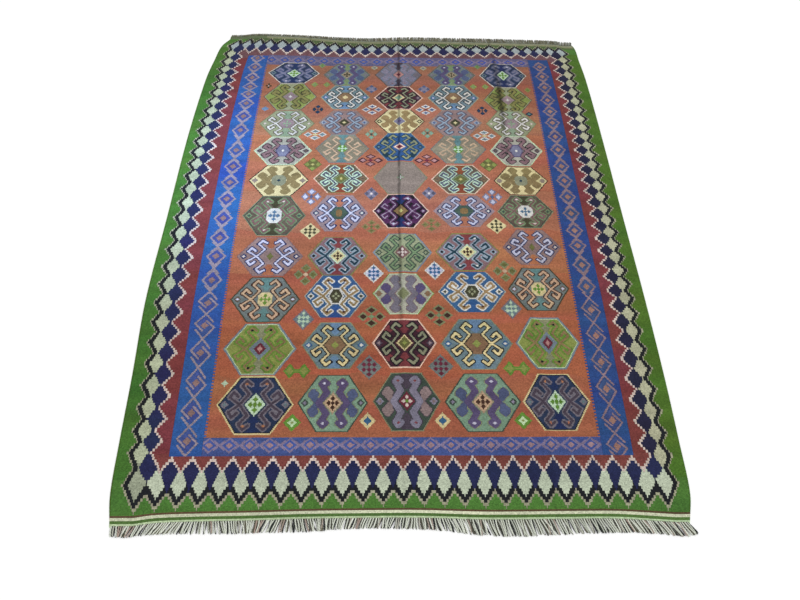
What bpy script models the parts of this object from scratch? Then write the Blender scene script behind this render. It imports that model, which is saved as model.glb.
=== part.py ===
"""A flatwoven kilim rug lying on a floor, with a warp fringe along each short end.

Metres, +Z up. X runs across the rug and Y along it, away from the viewer. The underside
lies at Z = 0, and the middle of the rug's box is at X = Y = 0.
"""

import math

import bmesh
import bpy

# Driving sizes of the cloth.
CLOTH_THICKNESS = 0.003
CROSSWISE_CELLS = 30  # even columns, before the folds get columns of their own
LENGTHWISE_CELLS = 32

# Where the cloth's sides lie at stations along its length: drawn in towards both ends.
SIDE_COLUMNS = ("along", "left", "right")
SIDES = (
    (-1.455, -1.006, 0.998),
    (-1.345, -1.030, 1.027),
    (-1.150, -1.044, 1.037),
    (-0.860, -1.060, 1.048),
    (-0.480, -1.085, 1.055),
    (0.000, -1.087, 1.057),
    (0.580, -1.089, 1.061),
    (1.060, -1.073, 1.059),
    (1.250, -1.051, 1.049),
    (1.380, -1.030, 1.040),
    (1.450, -0.990, 1.000),
)

# Where the cloth's short ends lie at stations across its width: they run in slow waves.
END_COLUMNS = ("across", "near", "far")
ENDS = (
    (-1.000, -1.459, 1.478),
    (-0.920, -1.449, 1.491),
    (-0.770, -1.444, 1.488),
    (-0.576, -1.441, 1.474),
    (-0.384, -1.436, 1.450),
    (-0.192, -1.434, 1.437),
    (0.048, -1.434, 1.445),
    (0.288, -1.441, 1.437),
    (0.576, -1.440, 1.428),
    (0.770, -1.440, 1.421),
    (0.950, -1.450, 1.414),
    (1.000, -1.453, 1.400),
)

# Lengthwise creases left from storing the rug folded in four: low rounded ridges.
# Columns: place across, reach to each side, height at the near end and at the far end.
FOLDS = (
    (-0.535, 0.036, 0.0015, 0.0040),
    (0.012, 0.040, 0.0030, 0.0060),
    (0.553, 0.034, 0.0030, 0.0100),
)
FOLD_FADE = 0.10  # length over which a ridge settles to the floor at each end

# Places where the cloth stands a little off the floor.
# Columns: place across and along, reach across and along, height.
SWELLS = (
    (-0.78, 1.16, 0.22, 0.24, 0.006),
    (0.80, -0.42, 0.20, 0.30, 0.004),
    (-0.30, -1.16, 0.24, 0.17, 0.003),
)

# Fringe: what is left of the warps, twisted in groups, rooted in a narrow heading.
STRANDS_PER_END = 140
HEADING_WIDTH = 0.006
HEADING_THICKNESS = 0.003
PARTING = 0.0003
CORNER_INSET = 0.004
STRAND_SHARE = 0.40  # share of the pitch that a strand's root takes up
STRAND_TAPER = 0.72
STRAND_THICKNESS = (0.0030, 0.0026, 0.0020)  # at the root, the middle and the tip
STRAND_BEND = 0.36  # share of the lean that the inner half takes up: under half bends it

# How much neighbouring strands differ, each by a wave of its own along the row.
# Columns: amount, radians from one strand to the next.
LENGTH_WAVE = (0.06, 2.9)
LEAN_WAVE = (0.07, 1.7)
BEND_WAVE = (0.09, 0.83)

# How far the strands reach and how much they lean along the edge, from end to end.
FRINGE_COLUMNS = ("across", "length", "lean")
NEAR_FRINGE = (
    (-1.00, 0.036, -0.80),
    (-0.78, 0.038, -0.65),
    (-0.55, 0.036, 0.15),
    (-0.30, 0.032, -0.30),
    (-0.08, 0.030, 0.25),
    (0.12, 0.032, -0.10),
    (0.30, 0.042, 0.25),
    (0.62, 0.042, 0.35),
    (0.84, 0.043, 0.55),
    (1.00, 0.056, 0.80),
)
FAR_FRINGE = (
    (-1.00, 0.018, -0.10),
    (-0.60, 0.024, 0.20),
    (-0.20, 0.038, -0.15),
    (0.20, 0.038, 0.20),
    (0.60, 0.040, -0.20),
    (1.00, 0.036, 0.10),
)


def smooth(share):
    """A soft step from 0 to 1."""
    share = min(1.0, max(0.0, share))
    return share * share * (3.0 - 2.0 * share)


def read(table, columns, wanted, place):
    """The value of one named column at a place, by a smooth curve through the rows."""
    column = columns.index(wanted)
    rows = [(row[0], row[column]) for row in table]
    if place <= rows[0][0]:
        return rows[0][1]
    if place >= rows[-1][0]:
        return rows[-1][1]
    after = next(i for i, row in enumerate(rows) if row[0] > place)
    before = after - 1

    def slope(i):
        low, high = rows[max(i - 1, 0)], rows[min(i + 1, len(rows) - 1)]
        return (high[1] - low[1]) / (high[0] - low[0])

    (start, start_value), (end, end_value) = rows[before], rows[after]
    span = end - start
    t = (place - start) / span
    return (
        (2 * t**3 - 3 * t**2 + 1) * start_value
        + (t**3 - 2 * t**2 + t) * span * slope(before)
        + (3 * t**2 - 2 * t**3) * end_value
        + (t**3 - t**2) * span * slope(after)
    )


def place_on_floor(across, along):
    """The floor position of a point of the cloth; both shares run from 0 to 1."""
    middle_left = read(SIDES, SIDE_COLUMNS, "left", 0.0)
    middle_right = read(SIDES, SIDE_COLUMNS, "right", 0.0)
    end_x = middle_left + (middle_right - middle_left) * across
    near = read(ENDS, END_COLUMNS, "near", end_x)
    far = read(ENDS, END_COLUMNS, "far", end_x)
    y = near + (far - near) * along
    left = read(SIDES, SIDE_COLUMNS, "left", y)
    right = read(SIDES, SIDE_COLUMNS, "right", y)
    return left + (right - left) * across, y


def fold_height(x, y):
    """How far the underside stands off the floor."""
    near = read(ENDS, END_COLUMNS, "near", x)
    far = read(ENDS, END_COLUMNS, "far", x)
    settled = smooth((y - near) / FOLD_FADE) * smooth((far - y) / FOLD_FADE)
    share = (y - near) / (far - near)
    height = 0.0
    for place, reach, near_height, far_height in FOLDS:
        offset = abs(x - place) / reach
        if offset < 1.0:
            ridge = near_height + (far_height - near_height) * share
            height += ridge * smooth(1.0 - offset)
    for across, along, reach_across, reach_along, rise in SWELLS:
        offset = math.hypot((x - across) / reach_across, (y - along) / reach_along)
        height += rise * smooth(1.0 - offset)
    return height * settled


def crosswise_stations():
    """Shares of the width where columns run: even ones, and five on each fold."""
    left = read(SIDES, SIDE_COLUMNS, "left", 0.0)
    width = read(SIDES, SIDE_COLUMNS, "right", 0.0) - left
    stations = [i / CROSSWISE_CELLS for i in range(CROSSWISE_CELLS + 1)]
    for place, reach, _, _ in FOLDS:
        centre = (place - left) / width
        half = reach / width
        stations = [s for s in stations if abs(s - centre) > 1.4 * half]
        stations += [centre + half * k / 2.0 for k in (-2, -1, 0, 1, 2)]
    return sorted(stations)


def end_line(end):
    """The points of one short edge of the cloth, from left to right."""
    along = 0.0 if end == "near" else 1.0
    return [place_on_floor(across, along) for across in crosswise_stations()]


def edge_at(line, x):
    """Where a short edge lies at one place across: straight from point to point."""
    after = next((i for i, point in enumerate(line) if point[0] > x), len(line) - 1)
    (x0, y0), (x1, y1) = line[after - 1], line[after]
    return y0 + (y1 - y0) * (x - x0) / (x1 - x0)


def wool_material(name, colour, roughness):
    material = bpy.data.materials.new(name)
    material.use_nodes = True
    shader = material.node_tree.nodes["Principled BSDF"]
    shader.inputs["Base Color"].default_value = (*colour, 1.0)
    shader.inputs["Roughness"].default_value = roughness
    shader.inputs["Metallic"].default_value = 0.0
    return material


def add_object(name, bm, collection, material):
    mesh = bpy.data.meshes.new(name)
    bm.to_mesh(mesh)
    bm.free()
    mesh.materials.append(material)
    piece = bpy.data.objects.new(name, mesh)
    collection.objects.link(piece)
    return piece


def make_cloth(collection):
    """The woven sheet: a grid laid on the outline and the folds, thickened upwards."""
    stations = crosswise_stations()
    columns = len(stations) - 1
    bm = bmesh.new()
    bmesh.ops.create_grid(bm, x_segments=columns, y_segments=LENGTHWISE_CELLS, size=0.5)
    for vert in bm.verts:
        across = stations[round((vert.co.x + 0.5) * columns)]
        x, y = place_on_floor(across, vert.co.y + 0.5)
        vert.co = (x, y, fold_height(x, y))
    material = wool_material("Woven wool", (0.47, 0.13, 0.06), 0.9)
    cloth = add_object("kilim", bm, collection, material)
    shell = cloth.modifiers.new("Thickness", "SOLIDIFY")
    shell.thickness = CLOTH_THICKNESS
    shell.offset = 1.0
    return cloth


def wave(kind, index):
    amount, step = kind
    return amount * math.sin(step * index)


def strand_path(index, table, across, outward):
    """Offsets of a strand's middle and tip from its root, with a slight bend."""
    length = read(table, FRINGE_COLUMNS, "length", across)
    length *= 1.0 + wave(LENGTH_WAVE, index)
    lean = read(table, FRINGE_COLUMNS, "lean", across) + wave(LEAN_WAVE, index)
    inner_lean = STRAND_BEND * lean + wave(BEND_WAVE, index)
    middle = (length * inner_lean, outward * length * 0.5)
    tip = (length * lean, outward * length)
    return middle, tip


def make_fringe(name, collection, end, outward, table):
    """One short end's fringe: a heading strip with strands drawn out of its outer face."""
    line = end_line(end)
    left = line[0][0] + CORNER_INSET
    right = line[-1][0] - CORNER_INSET
    pitch = (right - left) / STRANDS_PER_END
    root = pitch * STRAND_SHARE
    stations = [left]
    for strand in range(STRANDS_PER_END):
        middle = left + (strand + 0.5) * pitch
        stations += [middle - root / 2.0, middle + root / 2.0]
    stations.append(right)

    bm = bmesh.new()
    cells = len(stations) - 1
    bmesh.ops.create_grid(bm, x_segments=cells, y_segments=1, size=0.5)
    for vert in bm.verts:
        x = stations[round((vert.co.x + 0.5) * cells)]
        across_heading = vert.co.y + 0.5 if outward > 0 else 0.5 - vert.co.y
        reach = PARTING + HEADING_WIDTH * across_heading
        y = edge_at(line, x) + outward * reach
        vert.co = (x, y, 0.0)
    top = bmesh.ops.extrude_face_region(bm, geom=bm.faces[:])
    for item in top["geom"]:
        if isinstance(item, bmesh.types.BMVert):
            item.co.z = HEADING_THICKNESS
    bmesh.ops.recalc_face_normals(bm, faces=bm.faces[:])

    outer = [face for face in bm.faces if face.normal.y * outward > 0.5]
    outer.sort(key=lambda face: face.calc_center_median().x)
    for index, face in enumerate(outer[1::2]):
        draw_strand(bm, face, strand_path(index, table, face.calc_center_median().x, outward))
    material = wool_material("Twisted undyed wool", (0.62, 0.63, 0.55), 0.9)
    return add_object(name, bm, collection, material)


def draw_strand(bm, face, path):
    """Extrudes a heading face along a strand's path, its underside level on the floor."""
    root = [(vert.co.x, vert.co.y) for vert in face.verts]
    centre_x = sum(x for x, _ in root) / len(root)
    for step, (shift_x, shift_y) in enumerate(path, start=1):
        narrowing = 1.0 - (1.0 - STRAND_TAPER) * step / len(path)
        drawn = bmesh.ops.extrude_discrete_faces(bm, faces=[face])
        face = drawn["faces"][0]
        for vert, (x, y) in zip(face.verts, root):
            vert.co.x = centre_x + (x - centre_x) * narrowing + shift_x
            vert.co.y = y + shift_y
            if vert.co.z > PARTING:
                vert.co.z = STRAND_THICKNESS[step]


def centre_on_origin(pieces):
    """Moves every mesh by one offset, so that the rug's box is centred on X = Y = 0."""
    bpy.context.view_layer.update()
    points = [vert.co for piece in pieces for vert in piece.data.vertices]
    middle_x = (min(p.x for p in points) + max(p.x for p in points)) / 2.0
    middle_y = (min(p.y for p in points) + max(p.y for p in points)) / 2.0
    for piece in pieces:
        for vert in piece.data.vertices:
            vert.co.x -= middle_x
            vert.co.y -= middle_y


def main():
    for old in list(bpy.data.objects):
        bpy.data.objects.remove(old, do_unlink=True)
    collection = bpy.data.collections.new("Kilim rug")
    bpy.context.scene.collection.children.link(collection)
    cloth = make_cloth(collection)
    near = make_fringe("fringe_near", collection, "near", -1.0, NEAR_FRINGE)
    far = make_fringe("fringe_far", collection, "far", 1.0, FAR_FRINGE)
    centre_on_origin([cloth, near, far])


main()
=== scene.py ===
# A flatwoven wool kilim with a warp fringe at each short end, laid on a pale floor.
# Metres, Z up. X runs across the rug and Y along it, away from the camera.
import math
import random

import bpy
import numpy as np
from mathutils import Matrix, Vector


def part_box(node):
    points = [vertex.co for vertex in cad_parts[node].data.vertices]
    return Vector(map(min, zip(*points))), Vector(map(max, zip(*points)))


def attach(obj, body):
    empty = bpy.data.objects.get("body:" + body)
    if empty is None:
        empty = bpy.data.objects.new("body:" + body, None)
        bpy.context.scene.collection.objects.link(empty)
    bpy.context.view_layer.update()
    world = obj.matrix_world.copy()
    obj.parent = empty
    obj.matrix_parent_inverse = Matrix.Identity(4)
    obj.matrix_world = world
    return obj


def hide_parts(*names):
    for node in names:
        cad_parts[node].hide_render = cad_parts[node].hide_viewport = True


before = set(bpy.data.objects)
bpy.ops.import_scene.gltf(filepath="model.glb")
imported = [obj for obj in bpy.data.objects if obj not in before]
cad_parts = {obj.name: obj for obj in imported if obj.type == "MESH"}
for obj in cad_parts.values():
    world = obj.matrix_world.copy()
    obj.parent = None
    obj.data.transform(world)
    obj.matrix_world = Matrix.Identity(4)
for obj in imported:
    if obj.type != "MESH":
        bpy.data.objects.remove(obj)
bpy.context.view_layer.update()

scene = bpy.context.scene


def linear(hexColour):
    # sRGB hex to the linear colour that a shader takes
    channels = [int(hexColour[i:i + 2], 16) / 255.0 for i in (1, 3, 5)]
    return [c / 12.92 if c < 0.04045 else ((c + 0.055) / 1.055) ** 2.4 for c in channels] + [1.0]


def addNode(tree, kind, inputs, output=0, **settings):
    # adds one node, sets it, fills or links its sockets, and gives back the wanted output
    node = tree.nodes.new("ShaderNode" + kind)
    for name, value in settings.items():
        setattr(node, name, value)
    for socket, value in inputs.items():
        if isinstance(value, bpy.types.NodeSocket):
            tree.links.new(value, node.inputs[socket])
        else:
            node.inputs[socket].default_value = value
    return node.outputs[output] if len(node.outputs) else None


def addObject(name, data):
    thing = bpy.data.objects.new(name, data)
    scene.collection.objects.link(thing)
    return thing


def addLayer(mesh, name, kind, domain, values):
    # one attribute of a mesh, filled with numbers
    layer = mesh.attributes.new(name, kind, domain)
    field = "vector" if kind == "FLOAT_VECTOR" else "value"
    layer.data.foreach_set(field, np.asarray(values, np.float32).ravel())


def setStops(ramp, stops):
    # gives a colour ramp its stops, each a place and an sRGB colour
    elements = ramp.node.color_ramp.elements
    elements.remove(elements[1])
    for number, (place, colour) in enumerate(stops):
        stop = elements.new(place) if number else elements[0]
        stop.color = linear(colour)


def softStep(share):
    share = np.clip(share, 0.0, 1.0)
    return share * share * (3.0 - 2.0 * share)


def readTable(table, columns, wanted, place):
    # one named column at a place, by the same smooth curve that the solid's source uses
    keys = np.array([row[0] for row in table])
    values = np.array([row[columns.index(wanted)] for row in table])
    rises = np.empty_like(values)
    rises[1:-1] = (values[2:] - values[:-2]) / (keys[2:] - keys[:-2])
    rises[0] = (values[1] - values[0]) / (keys[1] - keys[0])
    rises[-1] = (values[-1] - values[-2]) / (keys[-1] - keys[-2])
    place = np.clip(np.asarray(place, float), keys[0], keys[-1])
    before = np.clip(np.searchsorted(keys, place, side="right") - 1, 0, len(keys) - 2)
    span = keys[before + 1] - keys[before]
    t = (place - keys[before]) / span
    return (
        (2 * t**3 - 3 * t**2 + 1) * values[before]
        + (t**3 - 2 * t**2 + t) * span * rises[before]
        + (3 * t**2 - 2 * t**3) * values[before + 1]
        + (t**3 - t**2) * span * rises[before + 1]
    )


# Where the cloth lies: the same outline and folds as the CAD solid.

cloth = {
    "flatWidth": 2.10,  # cut size between the selvedges
    "flatLength": 2.88,  # woven length between the fringes
    "thickness": 0.0030,
    "cellsAcross": 510,  # the weaver's chart: one cell is 4.1 mm, a pair of warps
    "cellsAlong": 824,  # and 3.5 mm, three wefts
    "cellsPerFace": (3, 4),
    "foldFade": 0.10,
    "endWaveReach": 0.32,  # how far in from each end its waves are still felt
    "meanHalfWidth": 1.072,  # as it lies, where the waves of its ends are read
    "meanMiddle": -0.015,
    "creaseWander": 0.003,
    "rippleHeight": 0.0009,
}

sideColumns = ("along", "left", "right")
sides = (
    (-1.455, -1.006, 0.998),
    (-1.345, -1.030, 1.027),
    (-1.150, -1.044, 1.037),
    (-0.860, -1.060, 1.048),
    (-0.480, -1.085, 1.055),
    (0.000, -1.087, 1.057),
    (0.580, -1.089, 1.061),
    (1.060, -1.073, 1.059),
    (1.250, -1.051, 1.049),
    (1.380, -1.030, 1.040),
    (1.450, -0.990, 1.000),
)
fieldColumns = ("along", "left", "right")
fieldEdges = (  # where the side borders end and the field starts
    (-1.450, -0.722, 0.730),
    (-1.100, -0.737, 0.746),
    (0.000, -0.762, 0.756),
    (1.100, -0.755, 0.758),
    (1.450, -0.735, 0.738),
)
endColumns = ("across", "near", "far")
ends = (
    (-1.000, -1.459, 1.478),
    (-0.920, -1.449, 1.491),
    (-0.770, -1.444, 1.488),
    (-0.576, -1.441, 1.474),
    (-0.384, -1.436, 1.450),
    (-0.192, -1.434, 1.437),
    (0.048, -1.434, 1.445),
    (0.288, -1.441, 1.437),
    (0.576, -1.440, 1.428),
    (0.770, -1.440, 1.421),
    (0.950, -1.450, 1.414),
    (1.000, -1.453, 1.400),
)
folds = (  # place across, reach, height at the near end and at the far end
    (-0.535, 0.036, 0.0015, 0.0040),
    (0.012, 0.040, 0.0030, 0.0060),
    (0.553, 0.034, 0.0030, 0.0100),
)
troughs = (  # the creases folded into it: place across, reach, depth at the near and the far end
    (-0.520, 0.016, 0.0000, 0.0015),
    (0.002, 0.016, 0.0010, 0.0030),
    (0.556, 0.018, 0.0000, 0.0035),
)
swells = (  # place across and along, reach across and along, height
    (-0.78, 1.16, 0.22, 0.24, 0.006),
    (0.80, -0.42, 0.20, 0.30, 0.004),
    (-0.30, -1.16, 0.24, 0.17, 0.003),
)
halfWidth = cloth["flatWidth"] / 2.0
halfLength = cloth["flatLength"] / 2.0
borderStart = 0.75  # the field's half width on the chart


def endWave(u, v):
    # how far the waves of the two short ends push a point of the chart along the rug
    x = u * (cloth["meanHalfWidth"] / halfWidth) + cloth["meanMiddle"]
    near = readTable(ends, endColumns, "near", x) + halfLength
    far = readTable(ends, endColumns, "far", x) - halfLength
    reach = cloth["endWaveReach"]
    return near * softStep(1.0 - (v + halfLength) / reach) + far * softStep(1.0 - (halfLength - v) / reach)


def onFloor(u, v):
    # a point of the flat chart, laid on the floor
    y = v + endWave(u, v)
    left = readTable(fieldEdges, fieldColumns, "left", y)
    right = readTable(fieldEdges, fieldColumns, "right", y)
    outerLeft = readTable(sides, sideColumns, "left", y)
    outerRight = readTable(sides, sideColumns, "right", y)
    inField = left + (right - left) * (u + borderStart) / (2.0 * borderStart)
    intoLeft = (-borderStart - u) / (halfWidth - borderStart)
    intoRight = (u - borderStart) / (halfWidth - borderStart)
    x = np.where(u < -borderStart, left + (outerLeft - left) * intoLeft, inField)
    x = np.where(u > borderStart, right + (outerRight - right) * intoRight, x)
    return x, y


def foldHeight(x, y):
    # how far the underside stands off the floor
    near = readTable(ends, endColumns, "near", x)
    far = readTable(ends, endColumns, "far", x)
    settled = softStep((y - near) / cloth["foldFade"]) * softStep((far - y) / cloth["foldFade"])
    share = (y - near) / (far - near)
    height = np.zeros_like(x)
    for place, reach, nearHeight, farHeight in folds:
        offset = np.clip(np.abs(x - place) / reach, 0.0, 1.0)
        ridge = nearHeight + (farHeight - nearHeight) * share
        height += ridge * (0.55 * softStep(1.0 - offset) + 0.45 * (1.0 - offset) ** 2)
    for across, along, reachAcross, reachAlong, rise in swells:
        offset = np.hypot((x - across) / reachAcross, (y - along) / reachAlong)
        height += rise * softStep(1.0 - offset)
    for place, reach, nearDepth, farDepth in troughs:
        line = place + cloth["creaseWander"] * np.sin(y * 7.0 + place * 40.0)
        depth = nearDepth + (farDepth - nearDepth) * share
        height -= depth * softStep(1.0 - np.abs(x - line) / reach)
    # ripples about 30 cm apart across the rug and 1 m apart along it
    ripple = 0.5 + 0.5 * np.sin(x * 21.0 + 1.3 * np.sin(y * 2.1) + 0.7)
    ripple *= 0.5 + 0.5 * np.sin(y * 6.3 + 2.0 * np.sin(x * 1.7))
    return np.maximum(height + cloth["rippleHeight"] * ripple, 0.0) * settled


# the solid was moved so that its box is centred; this finds by how much
clothLow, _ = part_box("kilim")
edgeShares = np.linspace(-1.0, 1.0, 801)
leftX, _ = onFloor(np.full_like(edgeShares, -halfWidth), edgeShares * halfLength)
_, nearY = onFloor(edgeShares * halfWidth, np.full_like(edgeShares, -halfLength))
shiftX = clothLow[0] - float(leftX.min())
shiftY = clothLow[1] - float(nearY.min())
print("outline and folds read, shift", round(shiftX, 4), round(shiftY, 4))


# The dyed yarns, as they look in daylight.

dyes = {
    "fieldNear": "#92573f",
    "fieldRow9": "#95553b",
    "fieldRow8": "#94533d",
    "fieldRow7": "#985d42",
    "fieldRow6": "#976049",
    "fieldRow5": "#995d45",
    "fieldRow4": "#985b43",
    "fieldRow3": "#936049",
    "fieldRow2": "#8c5842",
    "fieldFar": "#895a46",
    "green": "#497030",
    "greenLeft": "#3e6628",
    "greenFar": "#4e5f3a",
    "greenRight": "#456422",
    "beige": "#93927a",
    "midnight": "#1a1c20",
    "creamNear": "#acb59f",
    "creamLeft": "#a0a68b",
    "creamRight": "#a3a388",
    "creamFar": "#98a2a2",
    "creamGrey": "#8d927d",
    "navy": "#222548",
    "navyRight": "#202038",
    "pinkWhite": "#bdada3",
    "brick": "#6e3335",
    "brickNear": "#6e3736",
    "brickFar": "#654549",
    "guardBlue": "#2a4e8a",
    "guardRight": "#284177",
    "guardNear": "#3e4f80",
    "guardFar": "#575573",
    "chainLeft": "#857982",
    "chainRight": "#7d6970",
    "chainNear": "#756981",
    "chainFar": "#74697f",
    "ringLeft": "#3a4a80",
    "ringRight": "#374672",
    "ringNear": "#3d4b8c",
    "heartLeft": "#7e6462",
    "heartRight": "#8e6b60",
    "heartNear": "#886f76",
    "heartFar": "#716371",
    "paleGreen": "#aec29b",
    "stripeRed": "#54412f",
    "stripeCream": "#c3c7aa",
    "stripeGreen": "#4d6935",
    "khaki": "#797b5f",
    "khakiLeft": "#606c4f",
    "farPale": "#7f8474",
    "tan": "#93836d",
    "brownPink": "#7b6a69",
    "steelGrey": "#69737e",
    "paleGrey": "#9a9687",
    "worn": "#979584",
    "strongSky": "#4c637a",
    "tealDark": "#3e4d42",
    "oliveTan": "#7a6946",
    "slateViolet": "#4c4b58",
    "greyGreen": "#7b725f",
    "mintGrey": "#7b8a71",
    # medallions and fillers
    "ink": "#1a181c",
    "cream": "#beaf81",
    "peachCream": "#cfae9a",
    "white": "#bcb8af",
    "indigo": "#1f2b4f",
    "deepNavy": "#252f48",
    "blueGrey": "#676169",
    "mauveBrown": "#6f514f",
    "mint": "#a7bba0",
    "leafGreen": "#597c30",
    "rust": "#94614a",
    "sage": "#6f8973",
    "purple": "#4f4563",
    "blueViolet": "#48506c",
    "darkBrown": "#3b251f",
    "greyLilac": "#726d7c",
    "wine": "#612634",
    "plum": "#423944",
    "darkGreen": "#38443b",
    "khakiGreen": "#788143",
    "oliveBrown": "#747041",
    "slate": "#5e6f73",
    "steel": "#5d748a",
    "brown": "#755c44",
    "sky": "#5c758d",
    "tealGrey": "#797962",
    "maroon": "#3a1e27",
    "crimson": "#6d3436",
    "olive": "#5c5b33",
    "darkOlive": "#3c3a29",
    "greyTeal": "#646b68",
    "peach": "#b19478",
    "teal": "#577573",
    "blue": "#335275",
    "strongBlue": "#2c4b78",
    "ochre": "#846c49",
    "oliveGrey": "#727453",
    "iceBlue": "#adabb9",
    "lilacGrey": "#847173",
    "deepTeal": "#1b323d",
    "paleBlue": "#818a92",
    "mauve": "#765b5d",
    "paleSage": "#828567",
    "taupe": "#7c6d62",
    "rose": "#9d736f",
    "aubergine": "#472443",
    "lilac": "#92828e",
    "gold": "#745b3b",
    "brownGrey": "#574b40",
    "mossGreen": "#697b59",
    "brownRed": "#763f29",
    "lavender": "#6e6d80",
    "pinkLilac": "#7f6863",
    "yellow": "#ada265",
}
yarnNumber = {name: number for number, name in enumerate(dyes)}
yarnLimit = 128

# The weaver's chart: the yarn of every cell, charted by rule.

rowsOfCells, columnsOfCells = cloth["cellsAlong"], cloth["cellsAcross"]
chart = np.full((rowsOfCells, columnsOfCells), yarnNumber["green"], int)
cellWidth = cloth["flatWidth"] / columnsOfCells
cellHeight = cloth["flatLength"] / rowsOfCells
cellU = (np.arange(columnsOfCells) + 0.5) * cellWidth - halfWidth
cellV = (np.arange(rowsOfCells) + 0.5) * cellHeight - halfLength
chartU, chartV = np.meshgrid(cellU, cellV)


def fill(mask, yarn):
    chart[mask] = yarnNumber[yarn]


def insideOutline(points):
    # even-odd test of every cell centre against a closed outline, in steps of three rows
    inside = np.zeros(chart.shape, bool)
    stairV = cellV[(np.arange(rowsOfCells) // 3 * 3 + 1).clip(0, rowsOfCells - 1)]
    for (u0, v0), (u1, v1) in zip(points, points[1:] + points[:1]):
        if v0 != v1:
            rows = (v0 > stairV) != (v1 > stairV)
            crossing = u0 + (stairV[rows] - v0) * (u1 - u0) / (v1 - v0)
            inside[rows] ^= cellU[None, :] > crossing[:, None]
    return inside


farAway = 9.0  # metres, further than any place on the rug


def gapTo(x, y, start, end):
    # distance to a straight stretch
    (x0, y0), (x1, y1) = start, end
    length = (x1 - x0) ** 2 + (y1 - y0) ** 2
    share = np.clip(((x - x0) * (x1 - x0) + (y - y0) * (y1 - y0)) / length, 0.0, 1.0)
    return np.hypot(x - x0 - share * (x1 - x0), y - y0 - share * (y1 - y0))


def gapToLine(x, y, corners):
    # distance to a bent line
    gap = np.full(x.shape, farAway)
    for start, end in zip(corners, corners[1:]):
        gap = np.minimum(gap, gapTo(x, y, start, end))
    return gap


border = {
    "sideGuard": (0.184, 0.300),  # distances from the selvedge, and from the two ends
    "nearGuard": (0.242, 0.314),
    "farGuard": (0.172, 0.250),
    "toothPitch": 0.0137,
    "toothDepth": 0.0075,
    "chainSide": 0.242,  # the middle of each guard's chain of diamonds
    "chainNear": 0.2834,
    "chainFar": 0.210,
    "chainEdge": 0.292,  # how far in a side chain may reach
    "hooksUpTo": -0.45,  # below this place the side chains have hooks
    "firstNavy": 0.150,  # the navy stops short of the two near corners
}
# Where the cream diamonds stand, counted along each edge; their pitch drifts as on the loom.
stationColumns = ("number", "place")
stations = {
    "left": ((0, -1.298), (1, -1.181), (2, -1.095), (5, -0.800), (10, -0.297), (15, 0.191),
             (20, 0.622), (25, 1.017), (30, 1.3507)),
    "right": ((0, -1.298), (1, -1.198), (2, -1.109), (8, -0.5556), (14, -0.0904), (20, 0.370),
              (26, 0.8008), (30, 1.1135), (33, 1.347)),
    "near": ((0, -0.965), (26, 0.967)),
    "far": ((0, -0.975), (4, -0.692), (6, -0.527), (14, 0.0726), (20, 0.5437), (23, 0.769),
            (26, 0.958)),
}
middleColumns = ("along", "left", "right")
chainMiddle = (  # from the selvedges to the middle of the cream diamonds
    (-1.30, 0.0840, 0.0830),
    (-0.80, 0.0825, 0.0885),
    (-0.50, 0.0790, 0.0870),
    (0.00, 0.0745, 0.0840),
    (0.50, 0.0745, 0.0885),
    (0.80, 0.0810, 0.0910),
    (1.05, 0.0860, 0.0930),
    (1.35, 0.0775, 0.0910),
)
# Each zigzag line: how far in it lies, how much it swings at the cream diamonds, which way,
# how it turns the corner, and what lies inside it. At the sides it is measured from the
# diamonds' middle, at the ends from the end.
zigzagColumns = ("side", "sideSwing", "near", "nearSwing", "far", "farSwing", "way", "corner", "yarn")
zigzags = (
    (-0.0348, 0.0150, 0.0710, 0.0270, 0.0425, 0.0195, -1, "point", "beige"),
    (-0.0298, 0.0138, 0.0850, 0.0260, 0.0480, 0.0190, -1, "point", "midnight"),
    (-0.0132, 0.0128, 0.1160, 0.0310, 0.0713, 0.0223, -1, "point", "creamNear"),
    (0.0135, 0.0135, 0.1550, 0.0477, 0.0964, 0.0280, 1, "cut", "navy"),
    (0.0482, 0.0165, 0.2015, 0.0250, 0.1290, 0.0210, -1, "inner", "pinkWhite"),
    (0.0580, 0.0188, 0.2150, 0.0270, 0.1415, 0.0212, -1, "inner", "brick"),
)
stationPlaces = {
    edge: readTable(rows, stationColumns, "place", np.arange(rows[-1][0] + 1))
    for edge, rows in stations.items()
}


def zigzagOutline(row):
    level = dict(zip(zigzagColumns, row))

    def chain(edge):
        # places along one edge and their distance from it, at the diamonds and between them
        isSide = edge in ("left", "right")
        name = "side" if isSide else edge
        centres = stationPlaces[edge]
        places = np.empty(2 * len(centres) - 1)
        places[0::2] = centres
        places[1::2] = (centres[1:] + centres[:-1]) / 2.0
        turns = np.where(np.arange(len(places)) % 2 == 0, 1.0, -1.0)
        distances = level[name] + level["way"] * level[name + "Swing"] * turns
        if isSide:
            distances += readTable(chainMiddle, middleColumns, edge, places)
        if edge == "near" and level["corner"] == "cut":
            distances[[1, -2]] = border["firstNavy"]
        skip = {"point": 0, "cut": 1, "inner": 1 if isSide else 2}[level["corner"]]
        return list(zip(places, distances))[skip:len(places) - skip]

    outline = [(-halfWidth + d, v) for v, d in chain("left")]
    outline += [(u, halfLength - d) for u, d in chain("far")]
    outline += [(halfWidth - d, v) for v, d in reversed(chain("right"))]
    outline += [(u, -halfLength + d) for u, d in reversed(chain("near"))]
    return outline


fromSide = halfWidth - np.abs(chartU)
fromNear = chartV + halfLength
fromFar = halfLength - chartV
isLeft = chartU < 0.0

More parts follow.
